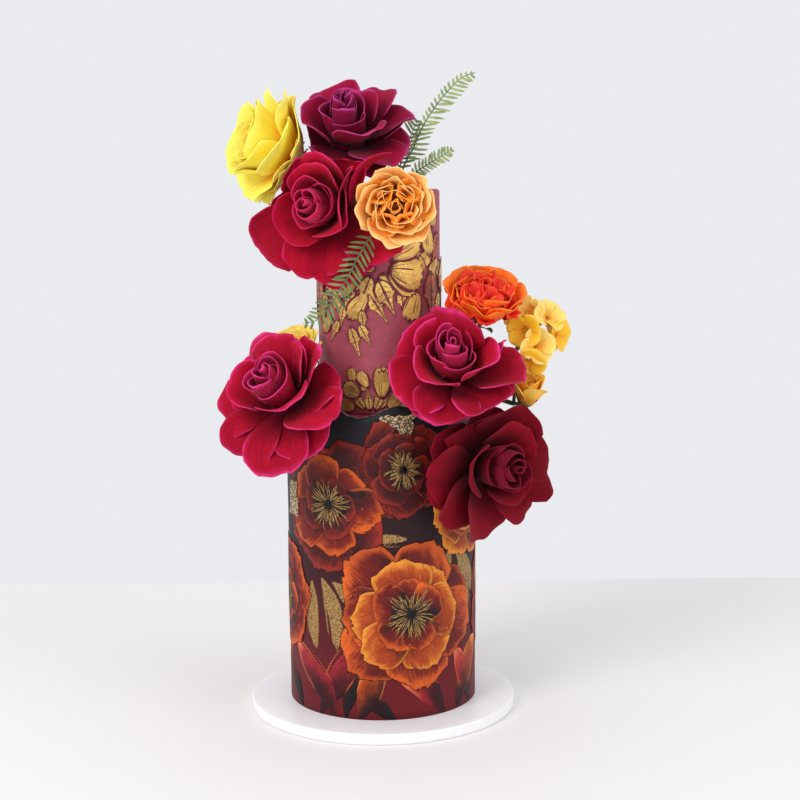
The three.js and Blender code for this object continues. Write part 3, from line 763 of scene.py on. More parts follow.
# The yellow rose is broad petalled and half open
OPEN_CUP = dict(
    ROSE_CUP, count=4, turn=20, length=48, width=31, open=34, open_tip=12, roll=32, wrap=25,
    ruffle=1.6,
)
OPEN_HEART = dict(
    ROSE_CUP, count=3, turn=55, start=7, length=43, width=27, open=24, open_tip=-6, roll=46, wrap=15,
    layer=0.4, ruffle=1.2,
)
OPEN_CORE = dict(
    ROSE_CUP, count=2, turn=10, pitch=150, start=4, length=37, width=20, open=14, open_tip=-12,
    roll=20, wrap=9, layer=0.1,
)
ROSE_SPREAD = dict(
    PETAL, roll=40, wrap=52, ruffle=2.4, curl=5, height=-1, frill=1.3, frills=2.3, lift=6, gap=0.9,
    billow=0.8, ragged=0.011, corner=0.24, columns=30, rows=32,
)
FILLER_GAP = 40
FILLER_LENGTH, FILLER_WIDTH = 0.86, 0.94
FILLER_LEAN, FILLER_TIP = 7, 8
FILLER = dict(
    ROSE_SPREAD, height=-6, layer=0.95, corner=0.3, lift=0, curl=0, ruffle=1, gap=0,
)


def fillers(flower):
    """Petals that close the gaps of the spread ring, a little behind it and shorter."""
    rows = sorted(flower["spread"])
    behind = []
    for row, following in zip(rows, [*rows[1:], (rows[0][0] + 360, *rows[0][1:])]):
        gap = following[0] - row[0]
        if gap > FILLER_GAP:
            around, length, width, leaning, tip = ((a + b) / 2 for a, b in zip(row, following))
            shape = (length * FILLER_LENGTH, width * FILLER_WIDTH, leaning + FILLER_LEAN, tip + FILLER_TIP)
            behind.append((around, *shape))
    return behind


# Each rose's spread petals: direction, length, half width, lean at the foot and at the tip
ROSES = {
    "rose_top": dict(
        base=(-24, -13, 488), facing=(-0.06, -0.6, 0.8), size=1, spin=10, front=0, seed=3,
        stem=[(-15, -7, TOP - 2)], velvet="plum",
        spread=[
            (20, 52, 27, 62, 80), (68, 54, 28, 60, 78), (118, 54, 28, 62, 76), (168, 46, 26, 70, 88),
            (212, 50, 26, 76, 88), (262, 46, 27, 74, 92), (318, 50, 27, 72, 90),
        ],
    ),
    "rose_front": dict(
        base=(-39, -45, 435), facing=(-0.42, -0.9, 0.12), size=1, spin=35, front=-70, seed=5,
        stem=[(-35.3, -38, 434)], velvet="crimson",
        spread=[
            (95, 47, 29, 45, 40), (12, 46, 27, 48, 44), (150, 54, 28, 64, 72), (214, 64, 28, 72, 88),
            (266, 52, 29, 66, 84), (288, 58, 26, 84, 98), (332, 62, 25, 84, 92), (38, 60, 24, 82, 90),
        ],
    ),
    "rose_yellow": dict(
        base=(-72, -10, 479), facing=(-0.86, -0.4, 0.3), size=1.06, spin=20, front=40, seed=7,
        stem=[(-50, -1, 465), (-38, 3, TOP - 2)], velvet="lemon",
        spread=[
            (0, 50, 27, 44, 60), (60, 48, 26, 48, 66), (118, 48, 27, 46, 58), (180, 48, 26, 50, 64),
            (240, 44, 26, 48, 62), (305, 46, 26, 52, 70),
        ],
    ),
    "rose_left": dict(
        base=(-76, -66, 278), facing=(-0.4, -0.62, 0.67), size=1, spin=15, front=10, seed=11,
        stem=[(-68, -59, 268), (-60, -52, 256)], velvet="magenta",
        spread=[
            (96, 47, 29, 44, 42), (56, 49, 27, 52, 52), (138, 48, 28, 54, 54), (202, 52, 28, 74, 98),
            (246, 52, 28, 84, 112), (284, 58, 28, 92, 118), (343, 54, 28, 72, 88),
        ],
    ),
    "rose_right": dict(
        base=(60, -70, 300), facing=(0, -0.72, 0.69), size=1, spin=50, front=5, seed=13,
        stem=[(54, -50, 281), (48, -42, LEDGE - 2)], velvet="magenta",
        spread=[
            (92, 50, 28, 48, 48), (46, 45, 28, 54, 52), (142, 45, 28, 55, 56), (352, 54, 28, 66, 80),
            (216, 47, 29, 68, 82), (262, 48, 29, 74, 94), (308, 50, 28, 76, 94),
        ],
    ),
    "rose_dark": dict(
        base=(83, -71, 225), facing=(0.62, -0.78, 0), size=1, spin=5, front=-120, seed=17,
        stem=[(60, -48.8, 225)], velvet="wine",
        spread=[
            (72, 54, 29, 56, 50), (352, 60, 29, 66, 78), (318, 54, 27, 70, 84), (268, 56, 28, 78, 92),
            (232, 52, 25, 84, 94), (186, 52, 27, 80, 86), (122, 50, 26, 70, 76),
        ],
    ),
}

# Full blooms with many short petals

BLOOM_OUTER = dict(
    PETAL, count=7, turn=30, start=8, height=1, length=31, width=18, open=56, open_tip=12, roll=22,
    wrap=22, corner=0.09, columns=20, rows=20, frill=0.7, lift=2.2, curl=1.5,
)
BLOOM_MIDDLE = dict(
    BLOOM_OUTER, count=5, turn=0, height=2, length=27, width=16, open=44, open_tip=0, roll=18, wrap=15,
    layer=0.85,
)
BLOOM_INNER = dict(
    BLOOM_OUTER, count=5, start=7, height=3, length=23, width=13, open=34, open_tip=-8, roll=14,
    wrap=11, layer=0.6,
)
BLOOM_RINGS = [BLOOM_OUTER, BLOOM_MIDDLE, BLOOM_INNER]
BLOOM_FOLD = dict(
    PETAL, count=3, start=1, height=0, length=17, width=10, open=8, open_tip=64, roll=20, wrap=9,
    corner=0.14, layer=0, ruffle=1, frill=0.7, lift=0.8, columns=16, rows=14,
)
BLOOM_EYE = dict(
    BLOOM_FOLD, count=4, start=2.5, open=20, open_tip=-34, roll=60, wrap=4, lift=1.6,
)
# The whorls that fill each bloom, ring by ring: how many, how far out and how high
BLOOM_FOLDS = {
    "apricot": [(1, 0, 7), (6, 9.5, 6)],
    "coral": [(1, 0, 15), (5, 8, 13), (8, 14, 7)],
    "butter": [(1, 0, 5), (6, 8, 3)],
}


def add_heart(mesh, flower, radius, low, high):
    """A closed egg in the flower's middle that its petals stand round."""
    axes = flower_axes(flower)
    base = np.array(flower["base"])

    def place(s, t):
        out = radius * np.sin(math.pi * t)
        height = low + (high - low) * (1 - np.cos(math.pi * t)) / 2
        round_axis = (out * np.cos(math.pi * s), out * np.sin(math.pi * s))
        return np.stack((*round_axis, height), axis=1) @ axes + base

    made = lay(mesh, 16, 10, place, lambda s, t: {"reach": 0, "layer": 1})
    bmesh.ops.remove_doubles(mesh, verts=made, dist=MERGE)
    bmesh.ops.recalc_face_normals(mesh, faces=mesh.faces)


BLOOMS = {
    "bloom_apricot": dict(
        base=(14, -70, 436), facing=(0.03, -1, 0.02), size=1.1, spin=6, seed=19,
        stem=[(12.5, -51, 436)], silk="apricot",
    ),
    "bloom_coral": dict(
        base=(85, -42, 345), facing=(0.1, -0.55, 0.83), size=1.13, spin=20, seed=23,
        stem=[(76, -26, 310), (62, -20, LEDGE - 2)], silk="coral",
    ),
    "bloom_yellow": dict(
        base=(-71, -28, 305), facing=(-0.15, -0.4, 0.9), size=0.9, spin=12, seed=29,
        stem=[(-66, -20, 282), (-62, -16, LEDGE - 2)], silk="butter",
    ),
}

# Where each flower's middle is, for the fences between neighbours

ROSE_MIDDLE_HEIGHT = 22
BLOOM_MIDDLE_HEIGHT = 13
BLOOM_REACH = 35


def between(own, other, share):
    """A fence between two roses, a share of the way to the other."""
    own, other = (flower_point(ROSES[name], ROSE_MIDDLE_HEIGHT) for name in (own, other))
    return short(own, other, share)


def past_bloom(name):
    """A fence round a bloom."""
    bloom = BLOOMS[name]
    return ball(flower_point(bloom, BLOOM_MIDDLE_HEIGHT), BLOOM_REACH * bloom["size"])


FENCES = {
    "rose_top": [between("rose_top", "rose_front", 0.5), between("rose_top", "rose_yellow", 0.5)],
    "rose_front": [
        between("rose_front", "rose_top", 0.49),
        between("rose_front", "rose_yellow", 0.5),
        past_bloom("bloom_apricot"),
    ],
    "rose_yellow": [between("rose_yellow", "rose_front", 0.49), between("rose_yellow", "rose_top", 0.49)],
    "rose_left": [past_bloom("bloom_yellow")],
    "rose_right": [between("rose_right", "rose_dark", 0.5), past_bloom("bloom_coral")],
    "rose_dark": [between("rose_dark", "rose_right", 0.49)],
}

# Petal finishes: face tone, deep tone (painted shade towards the foot), rim tone (partly the edge's own
# colour, partly painted highlight) and heart tone, and how much the rim shows
ROSE_FINISHES = {
    "crimson": velvet(
        "velvet_crimson", (174, 8, 40), (88, 0, 18), (222, 38, 106), (196, 44, 84), 0.65, 0.32
    ),
    "plum": velvet("velvet_plum", (150, 8, 52), (66, 0, 24), (206, 70, 150), (128, 12, 56), 0.7, 0.3),
    "magenta": velvet(
        "velvet_magenta", (176, 10, 44), (88, 0, 20), (234, 58, 136), (168, 28, 68), 0.8, 0.42
    ),
    "wine": velvet("velvet_wine", (128, 6, 28), (52, 0, 10), (154, 16, 44), (118, 14, 40), 0.3, 0.16),
    "lemon": silk("silk_lemon", (255, 240, 84), (255, 160, 16), (255, 246, 120), (255, 236, 90), 0.6),
}
SILKS = {
    "apricot": silk(
        "silk_apricot", (255, 190, 100), (252, 150, 52), (255, 214, 146), (255, 158, 22), 0.6, 0.2
    ),
    "coral": silk("silk_coral", (255, 118, 26), (240, 64, 20), (255, 152, 56), (228, 40, 36), 0.4),
    "butter": silk("silk_butter", (250, 216, 90), (240, 180, 50), (252, 230, 130), (246, 200, 70)),
}
STEM_GREEN = leaf_green("stem_green", (96, 124, 78), (58, 88, 58))
ROSE_THICKNESS = 0.7
BLOOM_THICKNESS = 0.5
# The closed foot inside each rose: radius, and heights of its two ends
ROSE_FOOT = (14.5, -6, 12)
BLOOM_FOOT = (9, -3)
ROSE_STEM_START = -9
BLOOM_STEM_START = -7
BLOOM_SLOTS = {"apricot": "apricot_petal", "coral": "coral_petal", "butter": "yellow_petal"}


def whorls(flower, layers, first=0):
    """Several rings of petals, one inside the other."""
    return [petal for rank, layer in enumerate(layers) for petal in ring(flower, layer, first + rank)]


def bud(flower):
    """A pointed bud inside three cupped petals."""
    wraps = [(around + flower["front"], *shape) for around, *shape in BUD_WRAPS]
    inside = whorls(flower, [ROSE_BUD, *ROSE_CORE], 2)
    return [*ring(flower, ROSE_CUP, 0), *placed(flower, ROSE_WRAP, wraps), *inside]


def add_rose(name):
    flower = ROSES[name]
    mesh = new_mesh()
    fences = [*FENCES[name], LOWER_CAN, UPPER_CAN]
    half_open = flower["velvet"] == "lemon"
    middle = whorls(flower, (OPEN_CUP, OPEN_HEART, OPEN_CORE)) if half_open else bud(flower)
    behind = placed(flower, FILLER, fillers(flower))
    add_petals(mesh, flower, [*placed(flower, ROSE_SPREAD, flower["spread"]), *behind, *middle], fences)
    add_petals(mesh, flower, ring(flower, CALYX, 6), fences, 1)
    face = ROSE_FINISHES[flower["velvet"]]
    thicken(add_piece(name + "_petals", mesh, [face, STEM_GREEN], [name]), ROSE_THICKNESS)
    foot = new_mesh()
    add_heart(foot, flower, *ROSE_FOOT)
    add_piece(name + "_foot", foot, [face], [name])
    add_stem(name, flower, ROSE_STEM_START)


FOLD_SPIN = 137
FOLD_SPLAY = 0.045


def fold_flowers(flower):
    """Small off-centre whorls of crumpled petals that fill the heart of a full bloom."""
    axes = flower_axes(flower)
    made = 0
    for count, reach, rise in BLOOM_FOLDS[flower["silk"]]:
        for i in range(count):
            made += 1
            angle = TURN * i / count + 0.3 * draw(flower["seed"], made + 90)
            aside = np.array((math.cos(angle), math.sin(angle), 0))
            base = np.array(flower["base"]) + (aside * reach + np.array((0, 0, rise))) @ axes
            facing = (aside * FOLD_SPLAY * reach + np.array((0, 0, 1))) @ axes
            yield dict(base=base, facing=facing, size=flower["size"], spin=FOLD_SPIN * made, seed=made)


def add_bloom(name):
    flower = BLOOMS[name]
    mesh = new_mesh()
    fences = [LOWER_CAN, UPPER_CAN]
    add_petals(mesh, flower, whorls(flower, BLOOM_RINGS), fences)
    for fold in fold_flowers(flower):
        middle = fold["seed"] == 1
        add_petals(mesh, fold, ring(fold, BLOOM_EYE if middle else BLOOM_FOLD, 7))
    add_petals(mesh, flower, ring(flower, CALYX, 6), fences, 1)
    face, slot = SILKS[flower["silk"]], BLOOM_SLOTS[flower["silk"]]
    thicken(add_piece(name + "_petals", mesh, [face, STEM_GREEN], [name]), BLOOM_THICKNESS)
    heart = new_mesh()
    eye_height = BLOOM_FOLDS[flower["silk"]][0][2]
    add_heart(heart, flower, *BLOOM_FOOT, eye_height - 1)
    add_piece(name + "_heart", heart, [face], [name])
    add_stem(name, flower, BLOOM_STEM_START)


# Hydrangea: four-petalled florets on thin stalks from one hub

HYDRANGEA_HUB = (127, -30, 328)
HYDRANGEA_STEM = [HYDRANGEA_HUB, (104, -24, 302), (80, -17, 280), (71, -15, LEDGE - 2)]
# Each floret: its foot, which way it faces and its turn
FLORETS = [
    ((124, -40, 346), (0, -0.8, 0.6), 20),
    ((121, -50, 334), (-0.3, -0.9, -0.2), 55),
    ((140, -40, 342), (0.4, -0.65, 0.6), 5),
    ((147, -38, 328), (0.75, -0.6, -0.1), 40),
    ((130, -50, 320), (0.2, -0.95, 0.1), 15),
    ((124, -51, 309), (-0.1, -0.85, -0.5), 60),
    ((130, -26, 348), (0.2, -0.1, 1), 35),
    ((139, -20, 338), (0.8, 0.3, 0.3), 10),
    ((122, -14, 340), (-0.3, 0.8, 0.4), 65),
]
FLORET_PETAL = dict(
    PETAL, count=4, start=0.6, length=16, width=9.4, open=62, open_tip=84, roll=10, wrap=16, curl=1,
    ruffle=0.6, corner=0.3, columns=10, rows=10, frill=0.35, lift=0.8, layer=1,
)
FLORET_EYE = dict(
    PETAL, count=3, start=0.4, height=0.5, length=3, width=1.6, open=30, open_tip=-20, wrap=1.6,
    curl=0, ruffle=0, columns=6, rows=6, frill=0, lift=0, layer=0,
)

FLORET_THICKNESS = 0.4
CREAM = silk("silk_cream", (252, 214, 112), (246, 176, 50), (255, 228, 150), (248, 190, 80), 0.5, 0.15)
GOLDEN = silk("silk_gold", (255, 200, 44), (244, 160, 20), (255, 220, 90), (248, 184, 44), 0.5, 0.15)


def add_hydrangea():
    mesh = new_mesh()
    stalks = new_mesh()
    tube(stalks, smooth_route(HYDRANGEA_STEM, 8), STEM_RADIUS, STEM_RADIUS)
    for i, (base, facing, spin) in enumerate(FLORETS):
        flower = dict(base=base, facing=facing, spin=spin, seed=50 + i, size=1)
        add_petals(mesh, flower, ring(flower, FLORET_PETAL, 0), material=i % 2)
        add_petals(mesh, flower, ring(flower, FLORET_EYE, 1), material=i % 2)
        tube(stalks, smooth_route([HYDRANGEA_HUB, flower_point(flower, 0.2)], 4), 1, 0.7, 6)
    piece = add_piece("hydrangea_florets", mesh, [CREAM, GOLDEN], ["hydrangea"])
    thicken(piece, FLORET_THICKNESS)
    add_piece("hydrangea_stalks", stalks, [STEM_GREEN], ["hydrangea"])


# Rosebuds: two small buds on one stem

ROSEBUD_OUTER = dict(
    PETAL, count=4, start=5, height=2, length=25, width=11, open=26, open_tip=10, roll=40, wrap=13,
    ruffle=0.6, columns=14, rows=16, frill=0.5,
)
ROSEBUD_INNER = dict(
    ROSEBUD_OUTER, count=4, turn=45, start=3.5, length=23, width=10, open=22, open_tip=-8, roll=20,
    wrap=8, layer=0.4,
)
ROSEBUD_HEART = dict(
    ROSEBUD_OUTER, count=3, turn=20, start=2, length=21, width=8, open=10, open_tip=-10, roll=10,
    wrap=4, layer=0.1, lift=1,
)
ROSEBUD_CALYX = dict(
    CALYX, start=1.5, height=-2, length=14, width=3.5, open=40, open_tip=10, roll=30,
)
ROSEBUDS = [
    {"base": (121, -54, 272), "facing": (0.12, -0.4, 0.91), "size": 1, "spin": 15, "seed": 41},
    {"base": (114, -36, 290), "facing": (0.2, -0.3, 0.93), "size": 0.6, "spin": 50, "seed": 43},
]
ROSEBUD_FORK = (112, -44, 271)
ROSEBUD_STEM = [(92, -34, 276), (81, -29, 275.5), (73, -25.5, LEDGE - 2)]

TWIG_RADIUS = STEM_RADIUS * 0.8
ROSEBUD_THICKNESS = 0.45
AMBER_SILK = silk("silk_amber", (255, 196, 70), (255, 160, 34), (255, 222, 130), (255, 176, 40), 0.5, 0.25)


def add_rosebuds():
    mesh = new_mesh()
    stems = new_mesh()
    tube(stems, smooth_route([ROSEBUD_FORK, *ROSEBUD_STEM], 8), STEM_RADIUS, STEM_RADIUS)
    for small in ROSEBUDS:
        add_petals(mesh, small, whorls(small, (ROSEBUD_OUTER, ROSEBUD_INNER, ROSEBUD_HEART)))
        add_petals(mesh, small, ring(small, ROSEBUD_CALYX, 4), material=1)
        twig = smooth_route([flower_point(small, 1), ROSEBUD_FORK], 4)
        tube(stems, twig, TWIG_RADIUS, TWIG_RADIUS)
    piece = add_piece("rosebud_petals", mesh, [AMBER_SILK, STEM_GREEN], ["rosebuds"])
    thicken(piece, ROSEBUD_THICKNESS)
    add_piece("rosebud_stems", stems, [STEM_GREEN], ["rosebuds"])


# Fern fronds: a bent rib with leaflets in pairs that shorten to the tip

# Each frond: its rib, pairs of leaflets, bare share of the rib, and share of the full leaflet on each side
FERNS = {
    "fern_tall": dict(
        pairs=22, bare=0.24, left=0.45, right=1,
        rib=[
            (17, -6, TOP - 2), (22, -4, 468), (30, -3, 483), (37, -3, 499), (47, -4, 515),
            (59, -5, 530), (71, -7, 541), (82, -9, 545),
        ],
    ),
    "fern_back": dict(
        pairs=12, bare=0.34, left=0.9, right=0.9,
        rib=[
            (11, 0, TOP - 2), (18, 0, 466), (24, 1, 484), (34, 0, 507),
        ],
    ),
    "fern_right": dict(
        pairs=13, bare=0.3, left=0.6, right=0.6,
        rib=[
            (22, -9, TOP - 2), (31, -9, 462), (46, -10, 472), (63, -11, 482),
        ],
    ),
    "fern_left": dict(
        pairs=9, bare=0.3, left=0.6, right=0.6,
        rib=[
            (10, -12, TOP - 2), (7, -13, 460), (0, -14, 467), (-9, -14, 471),
        ],
    ),
    "fern_hanging": dict(
        pairs=19, bare=0.26, left=1, right=1,
        rib=[
            (3.5, -51, 428), (0, -66, 421), (-8, -77, 409), (-17, -80, 394), (-26, -79, 377),
            (-37, -77, 360), (-49, -76, 346), (-61, -76, 343),
        ],
    ),
}
LEAFLET_LENGTH = 13
LEAFLET_WIDTH = 2.4
LEAFLET_SWEEP = math.radians(58)
LEAFLET_THICKNESS = 0.35
RIB_RADIUS = 0.8
FROND_END = 0.97


SAGE_GREEN = leaf_green("fern_sage", (176, 190, 124), (120, 146, 92))
DARK_GREEN = leaf_green("fern_grey", (128, 146, 84), (72, 98, 52))


def frond_share(place):
    """Leaflet length along a frond: short at the foot, longest before the middle, short at the tip."""
    return min(1, 1.5 * math.sin(math.pi * (0.18 + 0.74 * place)))


def add_leaflet(mesh, root, way, normal, length, width, seed):
    """One narrow leaflet with a toothed edge, drooping a little."""
    aside = np.cross(normal, way)
    droop = 0.12 + 0.05 * draw(seed, 3)

    def place(s, t):
        shape = np.sin(math.pi * np.clip(0.08 + 0.9 * t, 0, 1)) ** 0.55
        teeth = 1 - 0.22 * np.abs(np.sin(t * 5.5 * math.pi)) * np.abs(s)
        half = width / 2 * shape * teeth
        lift = -droop * length * t * t + 0.5 * np.abs(s) * shape
        return root + np.outer(t * length, way) + np.outer(s * half, aside) + np.outer(lift, normal)

    lay(mesh, 4, 14, place, lambda s, t: {"reach": t, "rim": 1 - np.abs(s), "tint": draw(seed, 1)})


def add_fern(name):
    frond = FERNS[name]
    mesh = new_mesh()
    rib = new_mesh()
    route = smooth_route(frond["rib"], 10)
    tube(rib, route, RIB_RADIUS, RIB_RADIUS * 0.4, sides=7)
    line = np.array(route)
    spans = np.linalg.norm(np.diff(line, axis=0), axis=1)
    reached = np.concatenate(([0], np.cumsum(spans)))
    length = reached[-1]
    ways = np.gradient(line, axis=0)
    for i in range(frond["pairs"]):
        place = i / (frond["pairs"] - 1)
        at = length * (frond["bare"] + (FROND_END - frond["bare"]) * place)
        root = np.array([np.interp(at, reached, line[:, axis]) for axis in range(3)])
        way = np.array([np.interp(at, reached, ways[:, axis]) for axis in range(3)])
        way /= np.linalg.norm(way)
        normal = np.array((0, -1, 0)) + way * way[1]
        normal /= np.linalg.norm(normal)
        aside = np.cross(normal, way)
        for hand, share in ((1, frond["left"]), (-1, frond["right"])):
            reach = LEAFLET_LENGTH * share * frond_share(place) * (1 + 0.1 * draw(i, hand))
            sweep = LEAFLET_SWEEP + 0.12 * draw(i + 30, hand)
            leaf_way = math.cos(sweep) * way + math.sin(sweep) * hand * aside
            add_leaflet(mesh, root, leaf_way, normal, reach, LEAFLET_WIDTH, i + 100 * hand)
    green = DARK_GREEN if name == "fern_hanging" else SAGE_GREEN
    piece = add_piece(name + "_leaflets", mesh, [green], [name])
    thicken(piece, LEAFLET_THICKNESS)
    add_piece(name + "_rib", rib, [STEM_GREEN], [name])


# Cake and board


PAPER_FOLDS = (72, 131)
FOLD_DEPTH = 0.0012
FOLD_REACH = 10


def add_board():
    """The covered board, its paper drawn in folds over the edge."""
    mesh = new_mesh()
    top = BOARD_THICKNESS
    profile = [
        (0, 0),
        (BOARD_RADIUS - 1, 0),
        *[(BOARD_RADIUS, height) for height in (1, 3, 5, 7, top - 1.4)],
        *rounded(BOARD_RADIUS, top, 1.2),
        (BOARD_RADIUS - 8, top),
        (LOWER_RADIUS, top),
        (0, top),
    ]
    turned(mesh, profile, 360)
    for corner in mesh.verts:
        radius = math.hypot(corner.co.x, corner.co.y) / MM
        if radius > BOARD_RADIUS - FOLD_REACH:
            angle = math.atan2(corner.co.y, corner.co.x)
            share = float(eased_step(radius, BOARD_RADIUS - FOLD_REACH, BOARD_RADIUS))
            wide, fine = PAPER_FOLDS
            fold = math.sin(wide * angle + 2 * math.sin(5 * angle)) + 0.6 * math.sin(fine * angle)
            corner.co.xy *= 1 + FOLD_DEPTH * share * fold
    add_piece("board_covering", mesh, [board_paper()], ["board"])


TIER_STEPS = 160


def add_lower_tier():
    mesh = new_mesh()
    profile = [
        (0, BOARD_THICKNESS),
        (LOWER_RADIUS, BOARD_THICKNESS),
        *rings(LOWER_RADIUS, BOARD_THICKNESS + 10, LEDGE - 12, 12),
        *rounded(LOWER_RADIUS, LEDGE, LOWER_EDGE),
        *[(radius, LEDGE) for radius in (68, 60, 52, 30)],
        (0, LEDGE),
    ]
    turned(mesh, profile, TIER_STEPS)
    add_piece("lower_tier_icing", mesh, [ICING], ["lower_tier"])


def add_upper_tier():
    mesh = new_mesh()
    profile = [
        (0, LEDGE),
        (UPPER_RADIUS, LEDGE),
        *rings(UPPER_RADIUS, LEDGE + 3, TOP - 8, 40),
        *rounded(UPPER_RADIUS, TOP, UPPER_EDGE),
        *[(radius, TOP) for radius in (44, 36, 24, 12)],
        (0, TOP),
    ]
    turned(mesh, profile, TIER_STEPS)
    add_piece("upper_tier_icing", mesh, [ICING], ["upper_tier"])


# The print: a sheet round the lower tier with a hand-cut top edge

# Where the sheet rises above the ledge: angle from the front, spread and rise
BUMPS = [(-29, 9, 9), (11, 14, 8), (44, 8, 3)]
EDGE_RISE = 2.4


def cut_edge(angle):
    """Height of the cut edge at an angle from the front, in degrees."""
    edge = LEDGE + EDGE_RISE + 0.8 * np.sin(np.radians(5 * angle)) + 0.6 * np.sin(np.radians(9 * angle))
    for middle, spread, rise in BUMPS:
        edge = edge + rise * np.exp(-(((angle - middle) / spread) ** 2))
    return edge


def round_tier(angle, height, radius):
    """A point at an angle from the front, in degrees, and a height."""
    turn = np.radians(angle)
    return np.stack((radius * np.sin(turn), -radius * np.cos(turn), height + 0 * turn), axis=1)


def add_print_sheet():
    mesh = new_mesh()
    foot = BOARD_THICKNESS + WRAP_GAP

    def place(s, t):
        angle = 180 * s
        fine = 0.25 * np.sin(np.radians(41 * angle)) + 0.2 * np.sin(np.radians(67 * angle + 40))
        top = cut_edge(angle) + fine
        radius = WRAP_INSIDE + WRAP_THICKNESS / 2 + 0 * s
        return round_tier(angle, foot + (top - foot) * t, radius)

    made = lay(mesh, 360, 40, place, lambda s, t: {"reach": t, "height": t})
    bmesh.ops.remove_doubles(mesh, verts=made, dist=MERGE)
    cut = silk("print_cut", (232, 205, 200), (220, 190, 186), (235, 212, 208), (230, 205, 200))
    piece = add_piece("print_sheet", mesh, [print_ground(), cut], ["print_wrap"])
    thicken(piece, WRAP_THICKNESS, rim=1)


# The printed design: open autumn flowers, gilded leaves and long ribbon leaves, laid as ink-thin patches

INK_STEP = 0.03
INK_THICKNESS = 0.02
PRINT_MARGIN = 0.5
PRINT_GRID = 4.0


def add_patch(mesh, foot, direction, length, width, level, seed, bend, fan, ink):
    """A flat printed petal or leaf.

    Its foot is an angle and a height, and its direction and the bend over its length are in degrees.
    level is how many millimetres it lies above the sheet, and fan is where along it the patch is widest.
    """
    turn = math.radians(bend) or 1e-6
    heading = math.radians(direction)
    low = BOARD_THICKNESS + WRAP_GAP + PRINT_MARGIN
    past_edge = []

    def place(s, t):
        rag = 0.025 * (np.sin(9 * s + seed) + 0.7 * np.sin(19 * s + 2 * seed)) * t**3
        along = t * (1 - 0.24 * np.abs(s) ** 2.3 + rag)
        rise = 0.12 + 0.88 * np.sin(math.pi / 2 * np.minimum(1, along / fan))
        fall = np.maximum(0, (along - fan) / (1 - fan))
        aside = s * width / 2 * rise * (1 - 0.45 * fall**2) + 0.04 * length * np.sin(3 * t + seed) * t
        way = heading + turn * along
        across = length * (np.sin(way) - math.sin(heading)) / turn - aside * np.sin(way)
        height = foot[1] + length * (math.cos(heading) - np.cos(way)) / turn + aside * np.cos(way)
        angle = foot[0] + np.degrees(across / WRAP_OUTSIDE)
        high = cut_edge(angle) - PRINT_MARGIN
        past_edge.extend(((height < low) | (height > high)).tolist())
        return round_tier(angle, np.clip(height, low, high), WRAP_OUTSIDE + INK_STEP + level)

    def marks(s, t):
        return {"reach": t, "groove": s * draw(seed, 5), "tint": draw(seed, 6)}

    columns, rows = max(2, round(width / PRINT_GRID)), max(3, round(length / PRINT_GRID))
    made = lay(mesh, columns, rows, place, marks, ink)
    if any(past_edge):
        lost = {corner for corner, past in zip(made, past_edge) if past}
        touched = {face for corner in lost for face in corner.link_faces}
        faces = [face for face in touched if all(corner in lost for corner in face.verts)]
        bmesh.ops.delete(mesh, geom=faces, context="FACES")


EMBER, GARNET, AMBER, NIGHT, GOLD, RIBBON = range(6)
# Each ring of a printed bloom: petals, length and width as shares of its radius, first or second ink
PRINT_RINGS = [(7, 1.0, 0.95, 0), (6, 0.78, 0.76, 1), (5, 0.52, 0.52, 0)]
STAMENS = 72
STAMEN_WIDTH = 0.9
HEART_LEVEL = INK_STEP * 9
HEART_SIZE = (0.34, 0.36)


def add_print_bloom(mesh, place, radius, palette, turn, level, seed, shut):
    """An open flower seen from the front: rings of petals round a dark heart with gold stamens."""
    for rank, (count, reach, spread, choice) in enumerate(PRINT_RINGS):
        for i in range(count):
            number = seed + 10 * rank + i
            direction = turn + 360 / count * i + 31 * rank + 12 * draw(number, 1)
            drop = 1 - shut * 0.5 * (1 + math.sin(math.radians(direction)))
            length = radius * reach * (1 + 0.14 * draw(number, 2)) * drop
            width = radius * spread * (1 + 0.15 * draw(number, 3))
            layer = 3 * rank + (2 if i == count - 1 and count % 2 else i % 2)
            raised = level + INK_STEP * layer
            bend = 22 * draw(number, 4)
            add_patch(mesh, place, direction, length, width, raised, number, bend, 0.66, palette[choice])
    heart = level + HEART_LEVEL
    length, width = (radius * share for share in HEART_SIZE)
    for i in range(3):
        foot = (place[0], place[1] - radius * 0.14)
        raised = heart + INK_STEP * i
        add_patch(mesh, foot, 90 + 40 * (i - 1), length, width, raised, seed + i, 0, 0.5, NIGHT)
    for i in range(STAMENS):
        direction = 7 * TURN * i / STAMENS + 0.1 * draw(seed + i, 7)
        reach = radius * (0.22 + 0.1 * draw(seed + i, 8))
        inner = radius * (0.05 + 0.06 * abs(draw(seed + i, 9)))
        aside = math.degrees(inner * math.cos(direction) / WRAP_OUTSIDE)
        foot = (place[0] + aside, place[1] + inner * math.sin(direction))
        way, bend = math.degrees(direction), 40 * draw(i, 3)
        raised = heart + INK_STEP * (3 + i % 2)
        add_patch(mesh, foot, way, reach, STAMEN_WIDTH, raised, seed + i, bend, 0.9, GOLD)


# Each bloom: angle from the front and height, radius, inks, turn, how shut its top is
PRINT_BLOOMS = [
    ((-32, 192), 58, (GARNET, EMBER), 10, 0.1),
    ((18, 100), 64, (EMBER, AMBER), 25, 0.0),
    ((64, 190), 50, (AMBER, EMBER), 40, 0.2),
    ((-80, 104), 50, (EMBER, GARNET), 5, 0.0),
    ((14, 222), 46, (GARNET, GARNET), 12, 0.1),
    ((106, 106), 56, (GARNET, EMBER), 50, 0.1),
    ((-122, 200), 54, (AMBER, EMBER), 15, 0.1),
    ((-160, 108), 60, (GARNET, AMBER), 20, 0.0),
    ((150, 196), 58, (EMBER, AMBER), 35, 0.0),
    ((104, 218), 40, (GARNET, GARNET), 30, 0.1),
]
